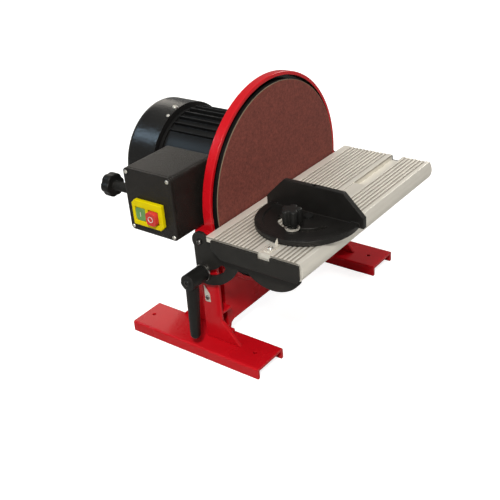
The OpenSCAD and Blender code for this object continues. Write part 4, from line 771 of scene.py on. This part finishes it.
# Mitre gauge: a steel bar in the table's slot carries a cast protractor head with an upright fence,
# held by a star knob over a washer, and a pointer turned up beside the rim's raised graduations.
bar_steel = finish_of("bar_steel", (0.8, 0.77, 0.7), (0.7, 0.67, 0.6), (0.3, 0.45), metal=0.55,
                      grain=(2400, 60), stretch=(0.03, 1, 1), relief=0.15, depth=0.0001)
rounded_copy("mitre_bar", bar_steel, "mitre_bar", 0.0004)
gauge_black = finish_of("gauge_black", (0.009, 0.0085, 0.008), (0.006, 0.0055, 0.005), (0.36, 0.5),
                        grain=(1100, 40), relief=0.2, depth=0.0003, worn_and_lit_edge=(0.06, 0.056, 0.05), shine=0.25)
rounded_copy("mitre_head", gauge_black, "mitre_head", 0.001)
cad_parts["swivel_screw"].data.materials[0] = black_steel
gauge_low, gauge_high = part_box("mitre_pointer_screw")
gauge_head_r = (gauge_high.y - gauge_low.y) / 2
gauge_head_t = 0.0022
gauge_seat = ((gauge_low.x + gauge_high.x) / 2, (gauge_low.y + gauge_high.y) / 2,
              gauge_high.z - gauge_head_t)
gauge_set = [driven_screw((0, 0, 1), gauge_seat, gauge_head_r, head_t=gauge_head_t, shank_r=0.0016,
                          shank_l=0.006)]
screw_set("mitre_pointer_screw_set", gauge_set, zinc_plate, "mitre_bar", ["mitre_pointer_screw"])

head_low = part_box("mitre_head")[0]
head_base_t = 0.008
rim_r = 0.076
rim_middle = np.array((head_low.x + rim_r, gauge_seat[1]))
rim_z = head_low.z + head_base_t
degree = np.arange(-80, 81, 4)
tick_long = np.where(degree % 20 == 0, 0.0065, 0.004)
tick_half = 0.0003
tick_rise = 0.00035
tick_root = 0.0004
tick_inset = 0.0013
tick_angle = np.radians(180 + degree)
tick_out = np.stack([np.cos(tick_angle), np.sin(tick_angle)], -1)
tick_side = np.stack([-np.sin(tick_angle), np.cos(tick_angle)], -1)
tick_far = np.full(len(degree), rim_r - tick_inset)
tick_near = tick_far - tick_long
tick_corners = []
for rise in (-tick_root, tick_rise):
    for reach, across in ((tick_near, -1), (tick_far, -1), (tick_far, 1), (tick_near, 1)):
        flat = rim_middle + tick_out * reach[:, None] + tick_side * across * tick_half
        tick_corners.append(np.concatenate([flat, np.full((len(degree), 1), rim_z + rise)], 1))
tick_points = np.stack(tick_corners, 1)
box_sides = np.array([(0, 3, 2, 1), (4, 5, 6, 7), (0, 1, 5, 4), (1, 2, 6, 5), (2, 3, 7, 6), (3, 0, 4, 7)])
tick_faces = (box_sides[None] + 8 * np.arange(len(degree))[:, None, None]).reshape(-1, 4).tolist()
mesh_piece("mitre_graduations", tick_points, tick_faces, gauge_black, "mitre_head")


def star_knob(node, seat, turn, reach, height, body, lobes, lobe_depth, outline, turned_by=0.0):
    """Lobed knob: outline points (radius share, height share, lobing) swept round seat, the radius drawn
    in between lobes: r = R s (1 - lobing depth sin(n (a - t) / 2)^4), with turn's rows as its axes."""
    share, rise, lobing = np.array(outline, float).T
    angle = np.linspace(0, 2 * np.pi, 32 * lobes, endpoint=False)
    drawn_in = lobing[:, None] * lobe_depth * np.sin(lobes * (angle - turned_by) / 2)[None] ** 4
    radius = reach * share[:, None] * (1 - drawn_in)
    local = np.stack([radius * np.cos(angle), radius * np.sin(angle),
                      np.broadcast_to(rise[:, None] * height, radius.shape)], -1)
    points = local @ np.array(turn, float) + np.array(seat)
    mesh_piece(node + "_star", points, grid_faces(len(outline), len(angle)), handle_black, body,
               [node], smooth_below=60)


stud_low, stud_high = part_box("mitre_stud")
knob_low, knob_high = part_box("mitre_knob")
star_knob("mitre_knob", ((stud_low.x + stud_high.x) / 2, (stud_low.y + stud_high.y) / 2, knob_low.z),
          turn=[(1, 0, 0), (0, 1, 0), (0, 0, 1)], reach=0.015, height=knob_high.z - knob_low.z,
          body="mitre_knob", lobes=5, lobe_depth=0.29, turned_by=math.radians(16),
          outline=[(0, 0, 0), (0.467, 0, 0), (0.467, 0.225, 0), (0.5, 0.238, 0.2), (0.8, 0.242, 0.8),
                   (0.93, 0.25, 1), (0.985, 0.28, 1), (1.0, 0.33, 1), (1.0, 0.88, 1), (0.98, 0.95, 1),
                   (0.92, 0.985, 1), (0.84, 1.0, 1), (0.5, 1.0, 0.6), (0.25, 1.0, 0.2), (0, 1, 0)])

# Disc brake: a blackened rod beside the motor with a lobed black knob behind and a lining pad at the
# back of the disc.
brake_low, brake_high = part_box("brake_knob")
brake_middle = (brake_low + brake_high) / 2
star_knob("brake_knob", (brake_middle.x, brake_low.y, brake_middle.z),
          turn=[(1, 0, 0), (0, 0, -1), (0, 1, 0)], reach=0.02, height=brake_high.y - brake_low.y,
          body="brake", lobes=6, lobe_depth=0.09,
          outline=[(0, 0, 0), (0.36, 0, 0), (0.4, 0.015, 0), (0.4, 0.68, 0), (0.43, 0.695, 0.2),
                   (0.7, 0.702, 0.8), (0.92, 0.706, 1), (0.98, 0.72, 1), (1.0, 0.75, 1), (1.0, 0.94, 1),
                   (0.98, 0.975, 1), (0.93, 0.994, 1), (0.86, 1.0, 1), (0.5, 1.0, 0.4), (0, 1.0, 0)])
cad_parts["brake_rod"].data.materials[0] = black_steel
lining = finish_of("lining", (0.1, 0.06, 0.04), (0.06, 0.04, 0.03), (0.7, 0.9), grain=(1500, 200), relief=0.4)
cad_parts["brake_pad"].data.materials[0] = lining
